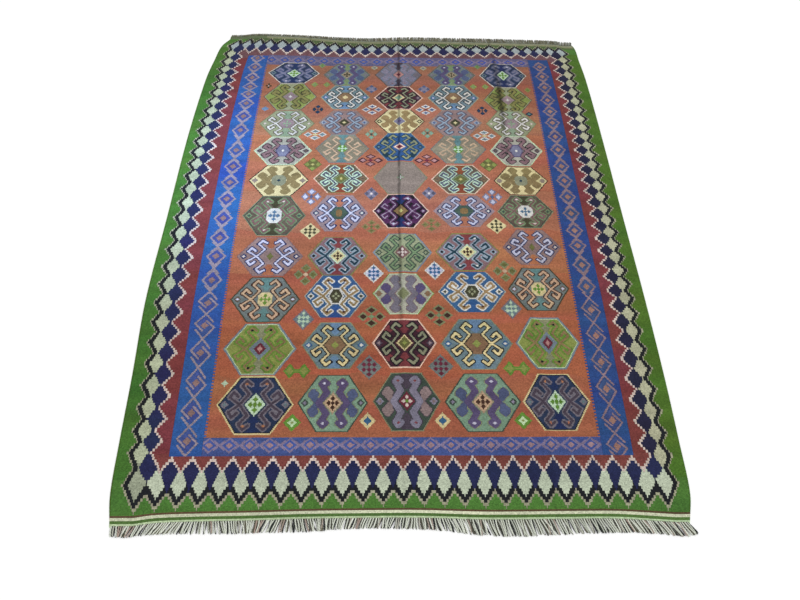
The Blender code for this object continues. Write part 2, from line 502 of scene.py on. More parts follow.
# the green ground, with its own lot at each side and at the far end
atSide = (fromSide < 0.16) & (fromNear > 0.16) & (fromFar > 0.10)
fill(atSide & isLeft, "greenLeft")
fill(atSide & ~isLeft, "greenRight")
fill((fromFar < 0.2) & (np.abs(chartU) < 0.93), "greenFar")
fill((fromFar < 0.045) & (chartU >= 0.93), "greenFar")
allInside = np.ones(chart.shape, bool)
for row in zigzags:
    yarn = row[zigzagColumns.index("yarn")]
    inside = insideOutline(zigzagOutline(row))
    fill(inside & (allInside if yarn == "navy" else True), yarn)
    if yarn == "midnight":
        allInside = inside
# The border's dye lots: each yarn, and the areas where another lot of it was used.
borderLots = {
    "creamNear": (
        (isLeft & (fromNear > 0.20), "creamLeft"),
        (~isLeft & (fromNear > 0.20), "creamRight"),
        (fromFar < 0.125, "creamFar"),
        ((chartU < -0.93) & (fromNear < 0.22), "creamGrey"),
    ),
    "navy": (((chartU > 0.85) & (fromNear > 0.24), "navyRight"),),
    "brick": ((fromNear < 0.25, "brickNear"), (fromFar < 0.20, "brickFar")),
    "midnight": (((fromFar < 0.11) & (fromSide > 0.07), "ink"),),
}
for yarn, lots in borderLots.items():
    cells = chart == yarnNumber[yarn]
    for area, otherLot in lots:
        fill(cells & area, otherLot)
# The stripes at the two ends: distance they reach, yarn.
nearStripes = ((0.0395, "stripeRed"), (0.0325, "stripeCream"), (0.0205, "stripeGreen"),
               (0.0090, "paleGreen"))
for reach, yarn in nearStripes:
    fill(fromNear < reach, yarn)
fill(fromFar < 0.027, "khaki")
fill((fromFar < 0.027) & (chartU < -0.80), "khakiLeft")
fill((fromFar < 0.012) & (chartU > -0.80), "farPale")
fill((fromSide < 0.004) & (fromNear > 0.042), "greenRight")  # the selvedge

# guards: a plain blue band with a chain of diamonds, toothed on the field's side
tooth = (np.floor(chartV * 2.0 / border["toothPitch"]) % 2 == 0) * border["toothDepth"]
guardStart, guardEnd = border["sideGuard"]
nearGuardStart, nearGuardEnd = border["nearGuard"]
farGuardStart, farGuardEnd = border["farGuard"]
inSides = (fromNear > nearGuardStart) & (fromFar > farGuardStart + 0.006) & (fromSide > guardStart)
sideArea = inSides & (fromSide < guardEnd + tooth)
fill(inSides, "fieldNear")
fill(sideArea & isLeft, "guardBlue")
fill(sideArea & ~isLeft, "guardRight")
middle = np.abs(chartU) < halfWidth - guardEnd
nearArea = middle & (fromNear > nearGuardStart) & (fromNear < nearGuardEnd)
farArea = middle & (fromFar > farGuardStart) & (fromFar < farGuardEnd)
fill(nearArea, "guardNear")
fill(farArea, "guardFar")


def fromStations(along, centres):
    # for every cell, its distance from the nearest motif as a share of the local pitch
    edges = (centres[1:] + centres[:-1]) / 2.0
    edges = np.concatenate(([2 * centres[0] - edges[0]], edges, [2 * centres[-1] - edges[-1]]))
    nearest = np.clip(np.searchsorted(edges, along) - 1, 0, len(centres) - 1)
    gap = along - centres[nearest]
    room = np.where(gap > 0.0, edges[nearest + 1] - centres[nearest], centres[nearest] - edges[nearest])
    return gap / (2.0 * room), 2.0 * room


chainShape = {
    "reach": 0.40,  # a diamond's half height, as a share of the pitch
    "outline": 1.4,  # the drawn lines' half widths, as shares of the chain's line
    "crossing": 1.2,
    "crossFrom": 0.24,  # where the crossed lines start, and how wide they spread
    "crossWidth": 0.75,
    "hookPitch": 0.115,
    "hooks": (((0.0, 0.5), (-1.0, 0.08), (-0.15, -0.20)), ((0.0, 0.5), (0.85, 0.16))),
}


def paintChain(away, along, centres, half, line, heart, yarns, area, hookedBelow=-farAway):
    # outlined diamonds with a solid heart and crossed lines between them; the part below
    # hookedBelow has its lines turned in as hooks
    outline, ring, core = yarns
    share, pitch = fromStations(along, centres)
    height = np.abs(share)
    reach = chainShape["reach"]
    size = np.abs(away) / half + height / reach
    rim = chainShape["outline"] * line / half
    crossGap = np.abs(np.abs(away) - (0.5 - height) * half / reach)
    crossing = (crossGap < line * chainShape["crossing"]) & (height > chainShape["crossFrom"])
    crossing &= np.abs(away) < half * chainShape["crossWidth"]
    hooked = along < hookedBelow
    plain = area & ~hooked
    fill(plain & crossing, outline)
    fill(plain & (np.abs(size - 1.0) < rim), outline)
    fill(plain & (size < 1.0 - rim), ring)
    hookPitch = chainShape["hookPitch"]
    gap = np.full(along.shape, farAway)
    for corners in chainShape["hooks"]:
        for way in (-1.0, 1.0):
            hook = [(x * way * half, y * way * hookPitch) for x, y in corners]
            gap = np.minimum(gap, gapToLine(away, share * hookPitch, hook))
    fill(area & hooked & (size < 1.0), ring)
    fill(area & hooked & (gap < line), outline)
    fill(area & (np.abs(away) / heart[0] + height * pitch / heart[1] < 1.0), core)


leftHearts = np.array([
    -1.139, -1.022, -0.890, -0.751, -0.617, -0.500, -0.376, -0.238, -0.128, -0.0045, 0.123,
    0.236, 0.349, 0.470, 0.6256, 0.739, 0.849, 0.930, 0.993, 1.072, 1.165, 1.2407])
rightHearts = np.array([
    -1.164, -1.057, -0.920, -0.796, -0.669, -0.538, -0.4135, -0.290, -0.173, -0.080, 0.030,
    0.140, 0.253, 0.356, 0.481, 0.581, 0.694, 0.787, 0.883, 0.997, 1.096, 1.190])
chainAway = fromSide - border["chainSide"]
chainArea = inSides & (fromSide < border["chainEdge"])
acrossHearts = -0.7255 + 0.0755 * np.arange(20)
paintChain(chainAway, chartV, leftHearts, half=0.037, line=0.0038, heart=(0.0155, 0.0186),
           yarns=("chainLeft", "ringLeft", "heartLeft"), area=chainArea & isLeft,
           hookedBelow=border["hooksUpTo"])
paintChain(-chainAway, chartV, rightHearts, half=0.037, line=0.0036, heart=(0.0155, 0.0186),
           yarns=("chainRight", "ringRight", "heartRight"), area=chainArea & ~isLeft,
           hookedBelow=border["hooksUpTo"])
paintChain(fromNear - border["chainNear"], chartU, acrossHearts, half=0.028, line=0.003,
           heart=(0.013, 0.0155), yarns=("chainNear", "ringNear", "heartNear"), area=nearArea)
paintChain(fromFar - border["chainFar"], chartU, acrossHearts, half=0.032, line=0.0036,
           heart=(0.011, 0.0140), yarns=("chainFar", "ringNear", "heartFar"), area=farArea)

# the field's dye lots, changing in uneven bands as one batch of yarn ran out
fieldLots = (
    (-0.86, "fieldRow9"),
    (-0.60, "fieldRow8"),
    (-0.33, "fieldRow7"),
    (-0.08, "fieldRow6"),
    (0.17, "fieldRow5"),
    (0.38, "fieldRow4"),
    (0.60, "fieldRow3"),
    (0.81, "fieldRow2"),
    (1.03, "fieldFar"),
)
field = chart == yarnNumber["fieldNear"]
for start, yarn in fieldLots:
    # two waves across the rug, 70 cm and 20 cm long, keep the edge of a lot uneven
    edge = start + 0.012 * np.sin(chartU * 9.0 + start * 40.0) + 0.006 * np.sin(chartU * 31.0)
    fill(field & (chartV > edge), yarn)
print("border charted")


def around(u, v, reachAcross, reachAlong):
    # the part of the chart round a place, with distances from its middle cell
    u = (math.floor(u / cellWidth) + 0.5) * cellWidth
    v = (math.floor(v / cellHeight) + 0.5) * cellHeight
    columns = np.flatnonzero(np.abs(cellU - u) <= reachAcross)
    rows = np.flatnonzero(np.abs(cellV - v) <= reachAlong)
    part = chart[rows[0]:rows[-1] + 1, columns[0]:columns[-1] + 1]
    right = np.abs(cellU[columns] - u)[None, :] + np.zeros(part.shape)
    up = np.abs(cellV[rows] - v)[:, None] + np.zeros(part.shape)
    return part, right, up


# One quarter of a medallion's hooked figure, in shares of its half width and half height.
hooks = {
    "main": ((0.40, 0.00), (0.175, 0.37), (0.38, 0.65)),
    "mainHead": ((0.38, 0.65), (0.26, 0.83), (0.13, 0.70)),
    "mainMiddle": (0.26, 0.72),
    "side": ((0.40, 0.00), (0.67, 0.25)),
    "sideHead": ((0.67, 0.25), (0.57, 0.44), (0.45, 0.28)),
    "sideMiddle": (0.56, 0.33),
    "sideDot": 0.79,
    "flatTop": 0.46,
    "patchPlaces": (0.58, 0.70, 0.96),  # how the patch above the heart widens
    "patchWidths": (0.04, 0.14, 0.10, 0.19),
    "sidePatch": (0.50, 0.16, 0.56, 0.20),  # across and its reach, up and its reach
    "inlay": 0.0024,  # these three are in metres
    "headDotSize": 0.0070,
    "sideDotSize": (0.016, 0.018),
}
# Half widths in metres of the hooks' band and of the band with its edging, how much thicker
# the heads are drawn, and how much of their spread they keep.
hookStyles = {
    "thin": (0.0040, 0.0080, 1.30, 1.00),
    "outlined": (0.0045, 0.0100, 1.10, 0.95),
    "heavy": (0.0074, 0.0115, 1.10, 0.90),
    "broad": (0.0118, 0.0142, 1.10, 0.55),
    "solid": (0.0132, 0.0132, 1.15, 0.50),
}


def paintShapes(part, a, b, layers):
    # layers of simple shapes, in shares of the medallion's half sizes
    for shape, width, height, yarn in layers:
        x, y = a / width, b / height
        if shape == "diamond":
            mask = x + y < 1.0
        elif shape == "hexagon":
            mask = (x < 1.0 - 0.55 * y) & (y < 1.0)
        elif shape == "octagon":
            mask = (x < 1.0) & (y < 1.0) & (x + y < 1.5)
        elif shape == "cross":  # four small diamonds and a middle one
            mask = np.abs(x - 0.62) / 0.38 + y / 0.36 < 1.0
            mask |= x / 0.36 + np.abs(y - 0.62) / 0.38 < 1.0
            mask |= x + y < 0.36
        else:  # four small diamonds
            mask = np.abs(x - 1.0) / 0.62 + y / 0.62 < 1.0
            mask |= x / 0.62 + np.abs(y - 1.0) / 0.62 < 1.0
        part[mask] = yarnNumber[yarn]


def paintMedallion(u, v, halfW, halfH, style, rims, ground, arms="ink", edging=None, sideArms=None,
                   patch=None, patchFrom=0.40, sidePatch=None, heart=(), core=(), headDot=None,
                   sideDot=None, inlay=None):
    # rims from the outside in, the ground, patches, core, hooks, dots and heart, each over the last
    part, right, up = around(u, v, halfW, halfH)
    a, b = right / halfW, up / halfH
    flat = hooks["flatTop"]
    slantLength = math.hypot(halfH, halfW * (1.0 - flat))
    inset = ((halfW - right) * halfH - up * halfW * (1.0 - flat)) / slantLength
    inset = np.minimum(inset, halfH - up + cellHeight / 2.0)
    depth = 0.0
    for yarn, thickness in (*rims, (ground, 0.0)):
        part[inset > depth] = yarnNumber[yarn]
        depth += thickness
    inHexagon = inset > depth
    if sidePatch:
        patchA, reachA, patchB, reachB = hooks["sidePatch"]
        mask = np.abs(a - patchA) / reachA + np.abs(b - patchB) / reachB < 1.0
        part[mask & inHexagon] = yarnNumber[sidePatch]
    if patch:
        spread = np.interp(b, (patchFrom, *hooks["patchPlaces"]), hooks["patchWidths"])
        part[(a < spread) & (b > patchFrom) & inHexagon] = yarnNumber[patch]
    paintShapes(part, a, b, core)
    if style:
        band, edged, headGain, spread = hookStyles[style]
        scale = 0.45 + 0.55 * halfH / 0.110  # flatter medallions have thinner hooks
        gaps = {}
        for name in ("main", "side"):
            arm = [(x * halfW, y * halfH) for x, y in hooks[name]]
            middleX, middleY = hooks[name + "Middle"]
            head = [
                ((middleX + (x - middleX) * spread) * halfW, (middleY + (y - middleY) * spread) * halfH)
                for x, y in hooks[name + "Head"]
            ]
            arm[-1] = head[0]
            headGap = gapToLine(right, up, head) / headGain
            gaps[name] = np.minimum(gapToLine(right, up, arm), headGap)
        nearest = np.minimum(gaps["main"], gaps["side"])
        if edging:
            part[(nearest < edged * scale) & inHexagon] = yarnNumber[edging]
        part[(gaps["side"] < band * scale) & inHexagon] = yarnNumber[sideArms or arms]
        part[(gaps["main"] < band * scale) & inHexagon] = yarnNumber[arms]
        if inlay:
            part[(nearest < hooks["inlay"]) & inHexagon] = yarnNumber[inlay]
        if headDot:
            dotX, dotY = hooks["mainMiddle"]
            dot = np.abs(right - dotX * halfW) + np.abs(up - dotY * halfH) < hooks["headDotSize"]
            part[dot] = yarnNumber[headDot]
        if sideDot:
            dotWidth, dotHeight = hooks["sideDotSize"]
            away = np.abs(right - hooks["sideDot"] * halfW) / dotWidth + up / dotHeight
            part[(away < 1.0) & inHexagon] = yarnNumber[sideDot[0]]
            part[(away < 0.5) & inHexagon] = yarnNumber[sideDot[1]]
    paintShapes(part, a, b, heart)


# Where the medallions stand on the chart. Each column leans a little: its place at the near
# and at the far end, and its medallions' half width at both.
medallionPlaces = (
    (-0.572, -0.583, 0.1500, 0.1430),
    (-0.268, -0.288, 0.1365, 0.1335),
    (0.018, 0.002, 0.1325, 0.1325),
    (0.313, 0.297, 0.1500, 0.1375),
    (0.604, 0.588, 0.1325, 0.1325),
)
# Each row, the far one first: the places of its five medallions, then their half heights.
medallionRows = (
    (1.116, 1.106, 1.1055, 1.1075, 1.104, 0.093, 0.103, 0.1085, 0.098, 0.110),
    (0.907, 0.905, 0.901, 0.9015, 0.884, 0.116, 0.103, 0.099, 0.1125, 0.110),
    (0.681, 0.692, 0.700, 0.690, 0.685, 0.108, 0.100, 0.0974, 0.106, 0.1075),
    (0.4655, 0.483, 0.497, 0.479, 0.470, 0.107, 0.105, 0.108, 0.107, 0.1125),
    (0.250, 0.265, 0.2725, 0.260, 0.251, 0.1086, 0.101, 0.114, 0.102, 0.100),
    (0.012, 0.030, 0.044, 0.044, 0.040, 0.1275, 0.117, 0.111, 0.103, 0.107),
    (-0.238, -0.2355, -0.2165, -0.2115, -0.1825, 0.1136, 0.114, 0.114, 0.1125, 0.106),
    (-0.479, -0.4625, -0.450, -0.4386, -0.424, 0.121, 0.115, 0.111, 0.1114, 0.117),
    (-0.733, -0.716, -0.704, -0.707, -0.704, 0.125, 0.1135, 0.119, 0.1225, 0.127),
    (-0.987, -0.981, -0.975, -0.9775, -0.976, 0.1264, 0.1225, 0.1275, 0.126, 0.124),
)
greenCross = (("diamond", 0.27, 0.40, "mint"), ("cross", 0.19, 0.29, "leafGreen"))
brownCross = (("diamond", 0.28, 0.40, "tan"), ("diamond", 0.24, 0.34, "peach"),
              ("cross", 0.19, 0.26, "darkBrown"))
# Row and column of each design, the far row first and columns counted from the side: a row
# repeats its designs in mirror order.
medallions = {
    (10, 1): dict(
        style="outlined", rims=(("cream", 0.0065), ("ink", 0.003)), ground="deepNavy", arms="plum",
        edging="blueGrey", patch="indigo", heart=greenCross, headDot="rust",
        sideDot=("blueGrey", "slate"),
    ),
    (10, 2): dict(
        style="broad", rims=(("darkGreen", 0.005),), ground="sage", arms="purple", edging="khaki",
        sideArms="blueViolet", heart=brownCross, headDot="iceBlue", sideDot=("darkGreen", "greyLilac"),
    ),
    (10, 3): dict(
        style="broad", rims=(("khaki", 0.004), ("darkGreen", 0.006)), ground="darkGreen",
        arms="greyLilac", edging="plum", sideArms="brownPink", patch="plum", headDot="crimson",
        sideDot=("greyLilac", "brownPink"), heart=(("diamond", 0.24, 0.33, "wine"),
            ("four", 0.10, 0.13, "pinkWhite"), ("diamond", 0.05, 0.08, "leafGreen")),
    ),
    (9, 1): dict(
        style="outlined", rims=(("steelGrey", 0.0075), ("paleGreen", 0.0035)), ground="khakiGreen",
        arms="oliveTan", edging="leafGreen", patch="khaki", headDot="ink", heart=(
            ("diamond", 0.30, 0.44, "steelGrey"), ("diamond", 0.22, 0.33, "slate"),
            ("diamond", 0.17, 0.25, "wine"), ("diamond", 0.08, 0.12, "rose")),
    ),
    (9, 2): dict(
        style="thin", rims=(("khaki", 0.004),), ground="slate", arms="cream", edging="ink", patch="sky",
        patchFrom=0.45, sideDot=("blue", "white"), core=(("hexagon", 0.33, 0.40, "brown"),),
        heart=(("diamond", 0.12, 0.16, "khakiGreen"),),
    ),
    (9, 3): dict(
        style="thin", rims=(("peachCream", 0.0065), ("ink", 0.002)), ground="maroon", arms="tealGrey",
        edging="ink", patch="crimson", sidePatch="crimson", sideDot=("plum", "lilacGrey"),
        heart=(("diamond", 0.25, 0.35, "cream"), ("diamond", 0.19, 0.27, "olive"),
            ("diamond", 0.07, 0.10, "khakiGreen")),
    ),
    (8, 1): dict(
        style="thin", rims=(("darkOlive", 0.0055),), ground="greyTeal", arms="peach", edging="darkBrown",
        patch="teal", sideDot=("brownGrey", "iceBlue"),
        heart=(("octagon", 0.22, 0.30, "cream"), ("cross", 0.18, 0.25, "leafGreen")),
    ),
    (8, 2): dict(
        style="outlined", rims=(("paleGrey", 0.004),), ground="blue", arms="ochre", edging="white",
        patch="strongBlue", headDot="darkBrown", sideDot=("white", "darkOlive"),
        heart=(("hexagon", 0.26, 0.37, "white"), ("hexagon", 0.21, 0.31, "darkOlive"),
            ("four", 0.08, 0.12, "paleSage")),
    ),
    (8, 3): dict(
        style="broad", rims=(("khakiGreen", 0.004), ("paleGreen", 0.003)), ground="worn", arms="blueGrey",
        edging="mauve", sideArms="purple", heart=(("diamond", 0.20, 0.30, "oliveGrey"),),
        sideDot=("brown", "brown"),
    ),
    (7, 1): dict(
        style="thin", rims=(("mauve", 0.004),), ground="pinkLilac", arms="iceBlue", edging="indigo",
        patch="fieldRow7", sideDot=("indigo", "pinkWhite"), heart=(("diamond", 0.10, 0.20, "olive"),),
    ),
    (7, 2): dict(
        style="outlined", rims=(("oliveBrown", 0.006),), ground="mauve", arms="deepTeal",
        edging="paleBlue", patch="crimson", headDot="white", sideDot=("paleBlue", "ink"),
        heart=(("diamond", 0.30, 0.42, "mint"), ("diamond", 0.24, 0.34, "cream"),
            ("cross", 0.16, 0.23, "darkBrown")),
    ),
    (7, 3): dict(
        style="outlined", rims=(("steelGrey", 0.004), ("paleBlue", 0.003)), ground="paleSage",
        arms="mossGreen", edging="darkGreen", patch="paleSage", sideDot=("darkGreen", "paleSage"),
        heart=(("diamond", 0.26, 0.36, "mauveBrown"), ("cross", 0.17, 0.24, "pinkWhite")),
    ),
    (6, 1): dict(
        style="outlined", rims=(("khaki", 0.004), ("darkGreen", 0.004)), ground="brownGrey",
        arms="mauveBrown", edging="mossGreen", patch="darkOlive", headDot="pinkWhite",
        sideDot=("mossGreen", "darkGreen"),
        heart=(("octagon", 0.25, 0.37, "white"), ("cross", 0.19, 0.29, "strongSky")),
    ),
    (6, 2): dict(
        style="thin", rims=(("lilacGrey", 0.005),), ground="lilacGrey", arms="iceBlue", edging="indigo",
        patch="fieldRow6", patchFrom=0.30, sideDot=("indigo", "white"),
        core=(("hexagon", 0.33, 0.34, "tealDark"),), heart=(("octagon", 0.12, 0.20, "gold"),),
    ),
    (6, 3): dict(
        style="outlined", rims=(("peachCream", 0.0055), ("ink", 0.002)), ground="ink", arms="aubergine",
        edging="aubergine", inlay="lilac", patch="indigo", sidePatch="aubergine", headDot="iceBlue",
        sideDot=("aubergine", "lilac"),
        heart=(("diamond", 0.25, 0.35, "gold"), ("diamond", 0.08, 0.12, "yellow")),
    ),
    (5, 1): dict(
        style="broad", rims=(("ink", 0.0045), ("cream", 0.004)), ground="cream", arms="oliveTan",
        edging="oliveTan", sideDot=("taupe", "taupe"),
        heart=(("octagon", 0.24, 0.34, "tealGrey"), ("diamond", 0.06, 0.08, "deepTeal")),
    ),
    (5, 2): dict(
        style="outlined", rims=(("peachCream", 0.0048), ("oliveBrown", 0.003)), ground="brownGrey",
        arms="slateViolet", edging="mint", patch="brownRed", patchFrom=0.30, headDot="strongSky",
        sideDot=("brown", "brownGrey"), heart=(("diamond", 0.29, 0.36, "mossGreen"),
            ("diamond", 0.23, 0.29, "olive"), ("diamond", 0.06, 0.08, "yellow")),
    ),
    (5, 3): dict(
        style=None, rims=(("khaki", 0.0045),), ground="taupe",
        heart=(("cross", 0.13, 0.20, "mossGreen"), ("four", 0.04, 0.07, "white")),
    ),
    (4, 1): dict(
        style="heavy", rims=(("paleGreen", 0.005),), ground="paleGrey", arms="mauve", edging="ink",
        sideDot=("plum", "brownGrey"), heart=(("hexagon", 0.27, 0.42, "purple"),
            ("hexagon", 0.23, 0.36, "lavender"), ("diamond", 0.05, 0.09, "white")),
    ),
    (4, 2): dict(
        style="thin", rims=(("slate", 0.003),), ground="greyGreen", arms="peach", edging="greyGreen",
        patch="teal", patchFrom=0.22,
        heart=(("octagon", 0.16, 0.24, "leafGreen"), ("cross", 0.19, 0.25, "mint")),
    ),
    (4, 3): dict(
        style="thin", rims=(("beige", 0.0035),), ground="blue", arms="khaki", edging="deepTeal",
        patch="strongBlue", patchFrom=0.25, sidePatch="deepTeal", sideDot=("deepTeal", "slate"),
        heart=(("diamond", 0.24, 0.26, "peachCream"), ("diamond", 0.14, 0.15, "wine")),
    ),
    (3, 1): dict(
        style="thin", rims=(("oliveGrey", 0.0045), ("paleSage", 0.006)), ground="paleSage", arms="white",
        edging="brownGrey", patch="mintGrey", patchFrom=0.25, sideDot=("paleSage", "pinkWhite"),
        core=(("hexagon", 0.30, 0.34, "lilacGrey"),), heart=(("cross", 0.16, 0.24, "mintGrey"),),
    ),
    (3, 2): dict(
        style="outlined", rims=(("taupe", 0.005),), ground="pinkLilac", arms="paleBlue",
        edging="slateViolet", patch="pinkLilac", sideDot=("paleBlue", "blueViolet"),
        heart=(("diamond", 0.22, 0.32, "darkOlive"), ("diamond", 0.07, 0.10, "cream")),
    ),
    (3, 3): dict(
        style="solid", rims=(("ink", 0.0045), ("cream", 0.004)), ground="cream", arms="ochre",
        sideDot=("darkOlive", "cream"),
        heart=(("diamond", 0.24, 0.36, "greyLilac"), ("diamond", 0.08, 0.12, "purple")),
    ),
    (2, 1): dict(
        style="heavy", rims=(("brownGrey", 0.004), ("beige", 0.003)), ground="khakiGreen",
        arms="oliveBrown", edging="darkOlive", patch="paleSage", headDot="darkOlive",
        heart=(("diamond", 0.28, 0.40, "lilacGrey"), ("diamond", 0.07, 0.10, "white")),
    ),
    (2, 2): dict(
        style="thin", rims=(("beige", 0.004),), ground="slate", arms="white", edging="ink", patch="sky",
        patchFrom=0.45, sideDot=("blue", "iceBlue"), core=(("hexagon", 0.33, 0.40, "brown"),),
        heart=(("diamond", 0.12, 0.16, "cream"),),
    ),
    (2, 3): dict(
        style="thin", rims=(("peachCream", 0.006), ("ink", 0.002)), ground="maroon", arms="tealGrey",
        edging="ink", patch="crimson", sidePatch="crimson", sideDot=("plum", "lilacGrey"),
        heart=(("diamond", 0.25, 0.35, "cream"), ("diamond", 0.16, 0.22, "sage")),
    ),
    (1, 1): dict(
        style="outlined", rims=(("white", 0.005), ("ink", 0.003)), ground="deepNavy", arms="lavender",
        edging="blueViolet", patch="indigo", heart=greenCross, headDot="iceBlue",
        sideDot=("slate", "indigo"),
    ),
    (1, 2): dict(
        style="broad", rims=(("taupe", 0.004), ("brownGrey", 0.003)), ground="greyTeal", arms="purple",
        edging="steel", sideArms="blueViolet", patch="mossGreen", headDot="iceBlue",
        sideDot=("greyTeal", "greyLilac"),
        heart=(("diamond", 0.22, 0.32, "tan"), ("cross", 0.15, 0.22, "darkOlive")),
    ),
    (1, 3): dict(
        style="broad", rims=(("brownGrey", 0.005),), ground="blueGrey", arms="greyLilac", edging="steel",
        patch="plum", headDot="mauve",
        heart=(("diamond", 0.22, 0.34, "rose"), ("diamond", 0.10, 0.14, "wine")),
    ),
}
perRow = len(medallionPlaces)
for rowIndex, row in enumerate(medallionRows):
    share = rowIndex / (len(medallionRows) - 1)
    for column, (nearU, farU, nearHalf, farHalf) in enumerate(medallionPlaces):
        fromNearestSide = min(column, perRow - 1 - column)
        design = medallions[(rowIndex + 1, fromNearestSide + 1)]
        place = (farU * (1.0 - share) + nearU * share, row[column])
        half = (farHalf * (1.0 - share) + nearHalf * share, row[perRow + column])
        paintMedallion(*place, *half, **design)
print("medallions charted")


def paintFiller(kind, u, v, width, height, yarns):
    # the small motifs between the medallions; width and height are half sizes
    part, right, up = around(u, v, width, height)
    a, b = right / width, up / height
    size = a + b
    first, second, third = yarns
    if kind == "diamond":  # one diamond in another
        layers = [(size < 1.0, first), (size < 0.50, second), (size < 0.16, third)]
    elif kind == "bowTie":  # two diamonds side by side
        twin = np.abs(a - 0.52) / 0.48 + b
        layers = [((twin < 1.0) | (a < 0.14) & (b < 0.2), first), (twin < 0.62, second),
                  ((twin < 0.20) | (b < 0.08) & (a < 0.9), third)]
    elif kind == "twins":  # two diamonds apart
        twin = np.abs(a - 0.62) / 0.37 + b
        layers = [(twin < 1.0, first), (twin < 0.55, second), (twin < 0.20, third)]
    elif kind == "checker":  # a diamond that holds small squares
        squares = (np.floor((a + b) * 2.5) + np.floor((a - b) * 2.5 + 5.0)) % 2
        layers = [(size < 1.0, first), ((size < 0.80) & (squares == 0), second),
                  ((size < 0.80) & (squares == 1), third)]
    else:
        arms = np.minimum(np.abs(a - 0.60) / 0.40 + b / 0.46, a / 0.46 + np.abs(b - 0.60) / 0.40)
        if kind == "cross":  # four diamonds round a small one
            layers = [(arms < 1.0, first), (arms < 0.60, second), (size < 0.22, third)]
        elif kind == "flower":  # four petals
            layers = [(arms < 1.0, first), (arms < 0.45, second), (size < 0.22, third)]
        else:  # four petals on a diamond of their own
            layers = [(size < 1.0, first), (arms < 0.72, second), (size < 0.20, third)]
    for mask, yarn in layers:
        part[mask] = yarnNumber[yarn]


# Small motifs come in pairs, left and right of the middle; a few stand alone. Each row: kind,
# the left one's place, the right one's place, half width, half height, and three yarns.
fillers = (
    ("bowTie", -0.418, -0.838, 0.465, -0.825, 0.054, 0.035, ("leafGreen", "khakiGreen", "khakiGreen")),
    ("checker", -0.131, -0.818, 0.158, -0.816, 0.051, 0.056, ("greyTeal", "wine", "greyTeal")),
    ("diamond", -0.421, -1.063, 0.462, -1.059, 0.035, 0.037, ("leafGreen", "paleGreen", "khakiGreen")),
    ("diamond", -0.132, -1.058, 0.153, -1.058, 0.031, 0.036, ("cream", "blue", "blue")),
    ("checker", -0.407, -0.585, 0.473, -0.528, 0.045, 0.054, ("blueGrey", "mint", "slate")),
    ("cross", -0.122, -0.570, 0.161, -0.565, 0.058, 0.056, ("oliveGrey", "darkBrown", "mossGreen")),
    ("cross", -0.409, -0.344, 0.462, -0.322, 0.053, 0.061, ("oliveGrey", "olive", "peach")),
    ("checker", -0.115, -0.336, 0.155, -0.3195, 0.045, 0.053, ("white", "blue", "iceBlue")),
    ("checker", -0.405, -0.086, 0.451, -0.050, 0.048, 0.050, ("cream", "darkOlive", "cream")),
    ("flower", -0.127, -0.058, 0.150, -0.045, 0.047, 0.042, ("oliveTan", "olive", "olive")),
    ("cross", -0.4125, 0.139, 0.445, 0.138, 0.049, 0.056, ("lavender", "iceBlue", "blueViolet")),
    ("petals", -0.131, 0.158, 0.1465, 0.162, 0.035, 0.044, ("greyLilac", "slateViolet", "pinkWhite")),
    ("petals", -0.424, 0.366, 0.445, 0.364, 0.046, 0.051, ("olive", "khakiGreen", "yellow")),
    ("cross", -0.1375, 0.395, 0.144, 0.397, 0.063, 0.046, ("maroon", "rose", "wine")),
    ("cross", -0.426, 0.592, 0.4416, 0.586, 0.061, 0.043, ("white", "slate", "cream")),
    ("flower", -0.136, 0.597, 0.152, 0.608, 0.032, 0.040, ("sage", "sage", "darkGreen")),
    ("flower", -0.426, 0.800, 0.448, 0.792, 0.031, 0.037, ("deepTeal", "indigo", "deepTeal")),
    ("cross", -0.1375, 0.798, 0.1465, 0.798, 0.054, 0.043, ("white", "blueViolet", "crimson")),
    ("twins", -0.428, 1.016, 0.445, 1.003, 0.054, 0.025, ("khakiGreen", "mossGreen", "khakiGreen")),
    ("petals", -0.145, 0.978, 0.142, 0.978, 0.035, 0.036, ("greyLilac", "blueViolet", "greyLilac")),
    ("diamond", -0.429, 1.190, 0.4505, 1.186, 0.022, 0.022, ("mossGreen", "leafGreen", "mossGreen")),
    ("diamond", -0.134, 1.173, 0.142, 1.170, 0.020, 0.020, ("beige", "blueGrey", "blueGrey")),
    ("flower", -0.711, 1.003, None, None, 0.018, 0.022, ("darkOlive", "ink", "white")),
    ("diamond", -0.708, 0.803, None, None, 0.020, 0.020, ("steel", "sky", "sky")),
    ("diamond", -0.6965, -0.892, None, None, 0.014, 0.014, ("mint", "mint", "mint")),
    ("diamond", None, None, 0.710, 0.975, 0.018, 0.022, ("khakiGreen", "olive", "khakiGreen")),
    ("diamond", None, None, 0.6955, 0.764, 0.020, 0.020, ("deepTeal", "teal", "teal")),
)
for kind, leftU, leftV, rightU, rightV, *drawing in fillers:
    for u, v in ((leftU, leftV), (rightU, rightV)):
        if u is not None:
            paintFiller(kind, u, v, *drawing)
print("fillers charted,", len(dyes), "yarns")

# a slit opens where the yarn changes between two warps for two cell rows or more
change = chart[:, 1:] != chart[:, :-1]
slit = np.zeros_like(change)
slit[:-1] |= change[:-1] & change[1:]
slit[1:] |= change[1:] & change[:-1]
slitRight = np.zeros(chart.shape, int)
slitLeft = np.zeros(chart.shape, int)
slitRight[:, :-1] = slit
slitLeft[:, 1:] = slit
codes = chart + yarnLimit * (slitRight + 2 * slitLeft)  # one number for each cell

# The cloth itself: a thin closed sheet.

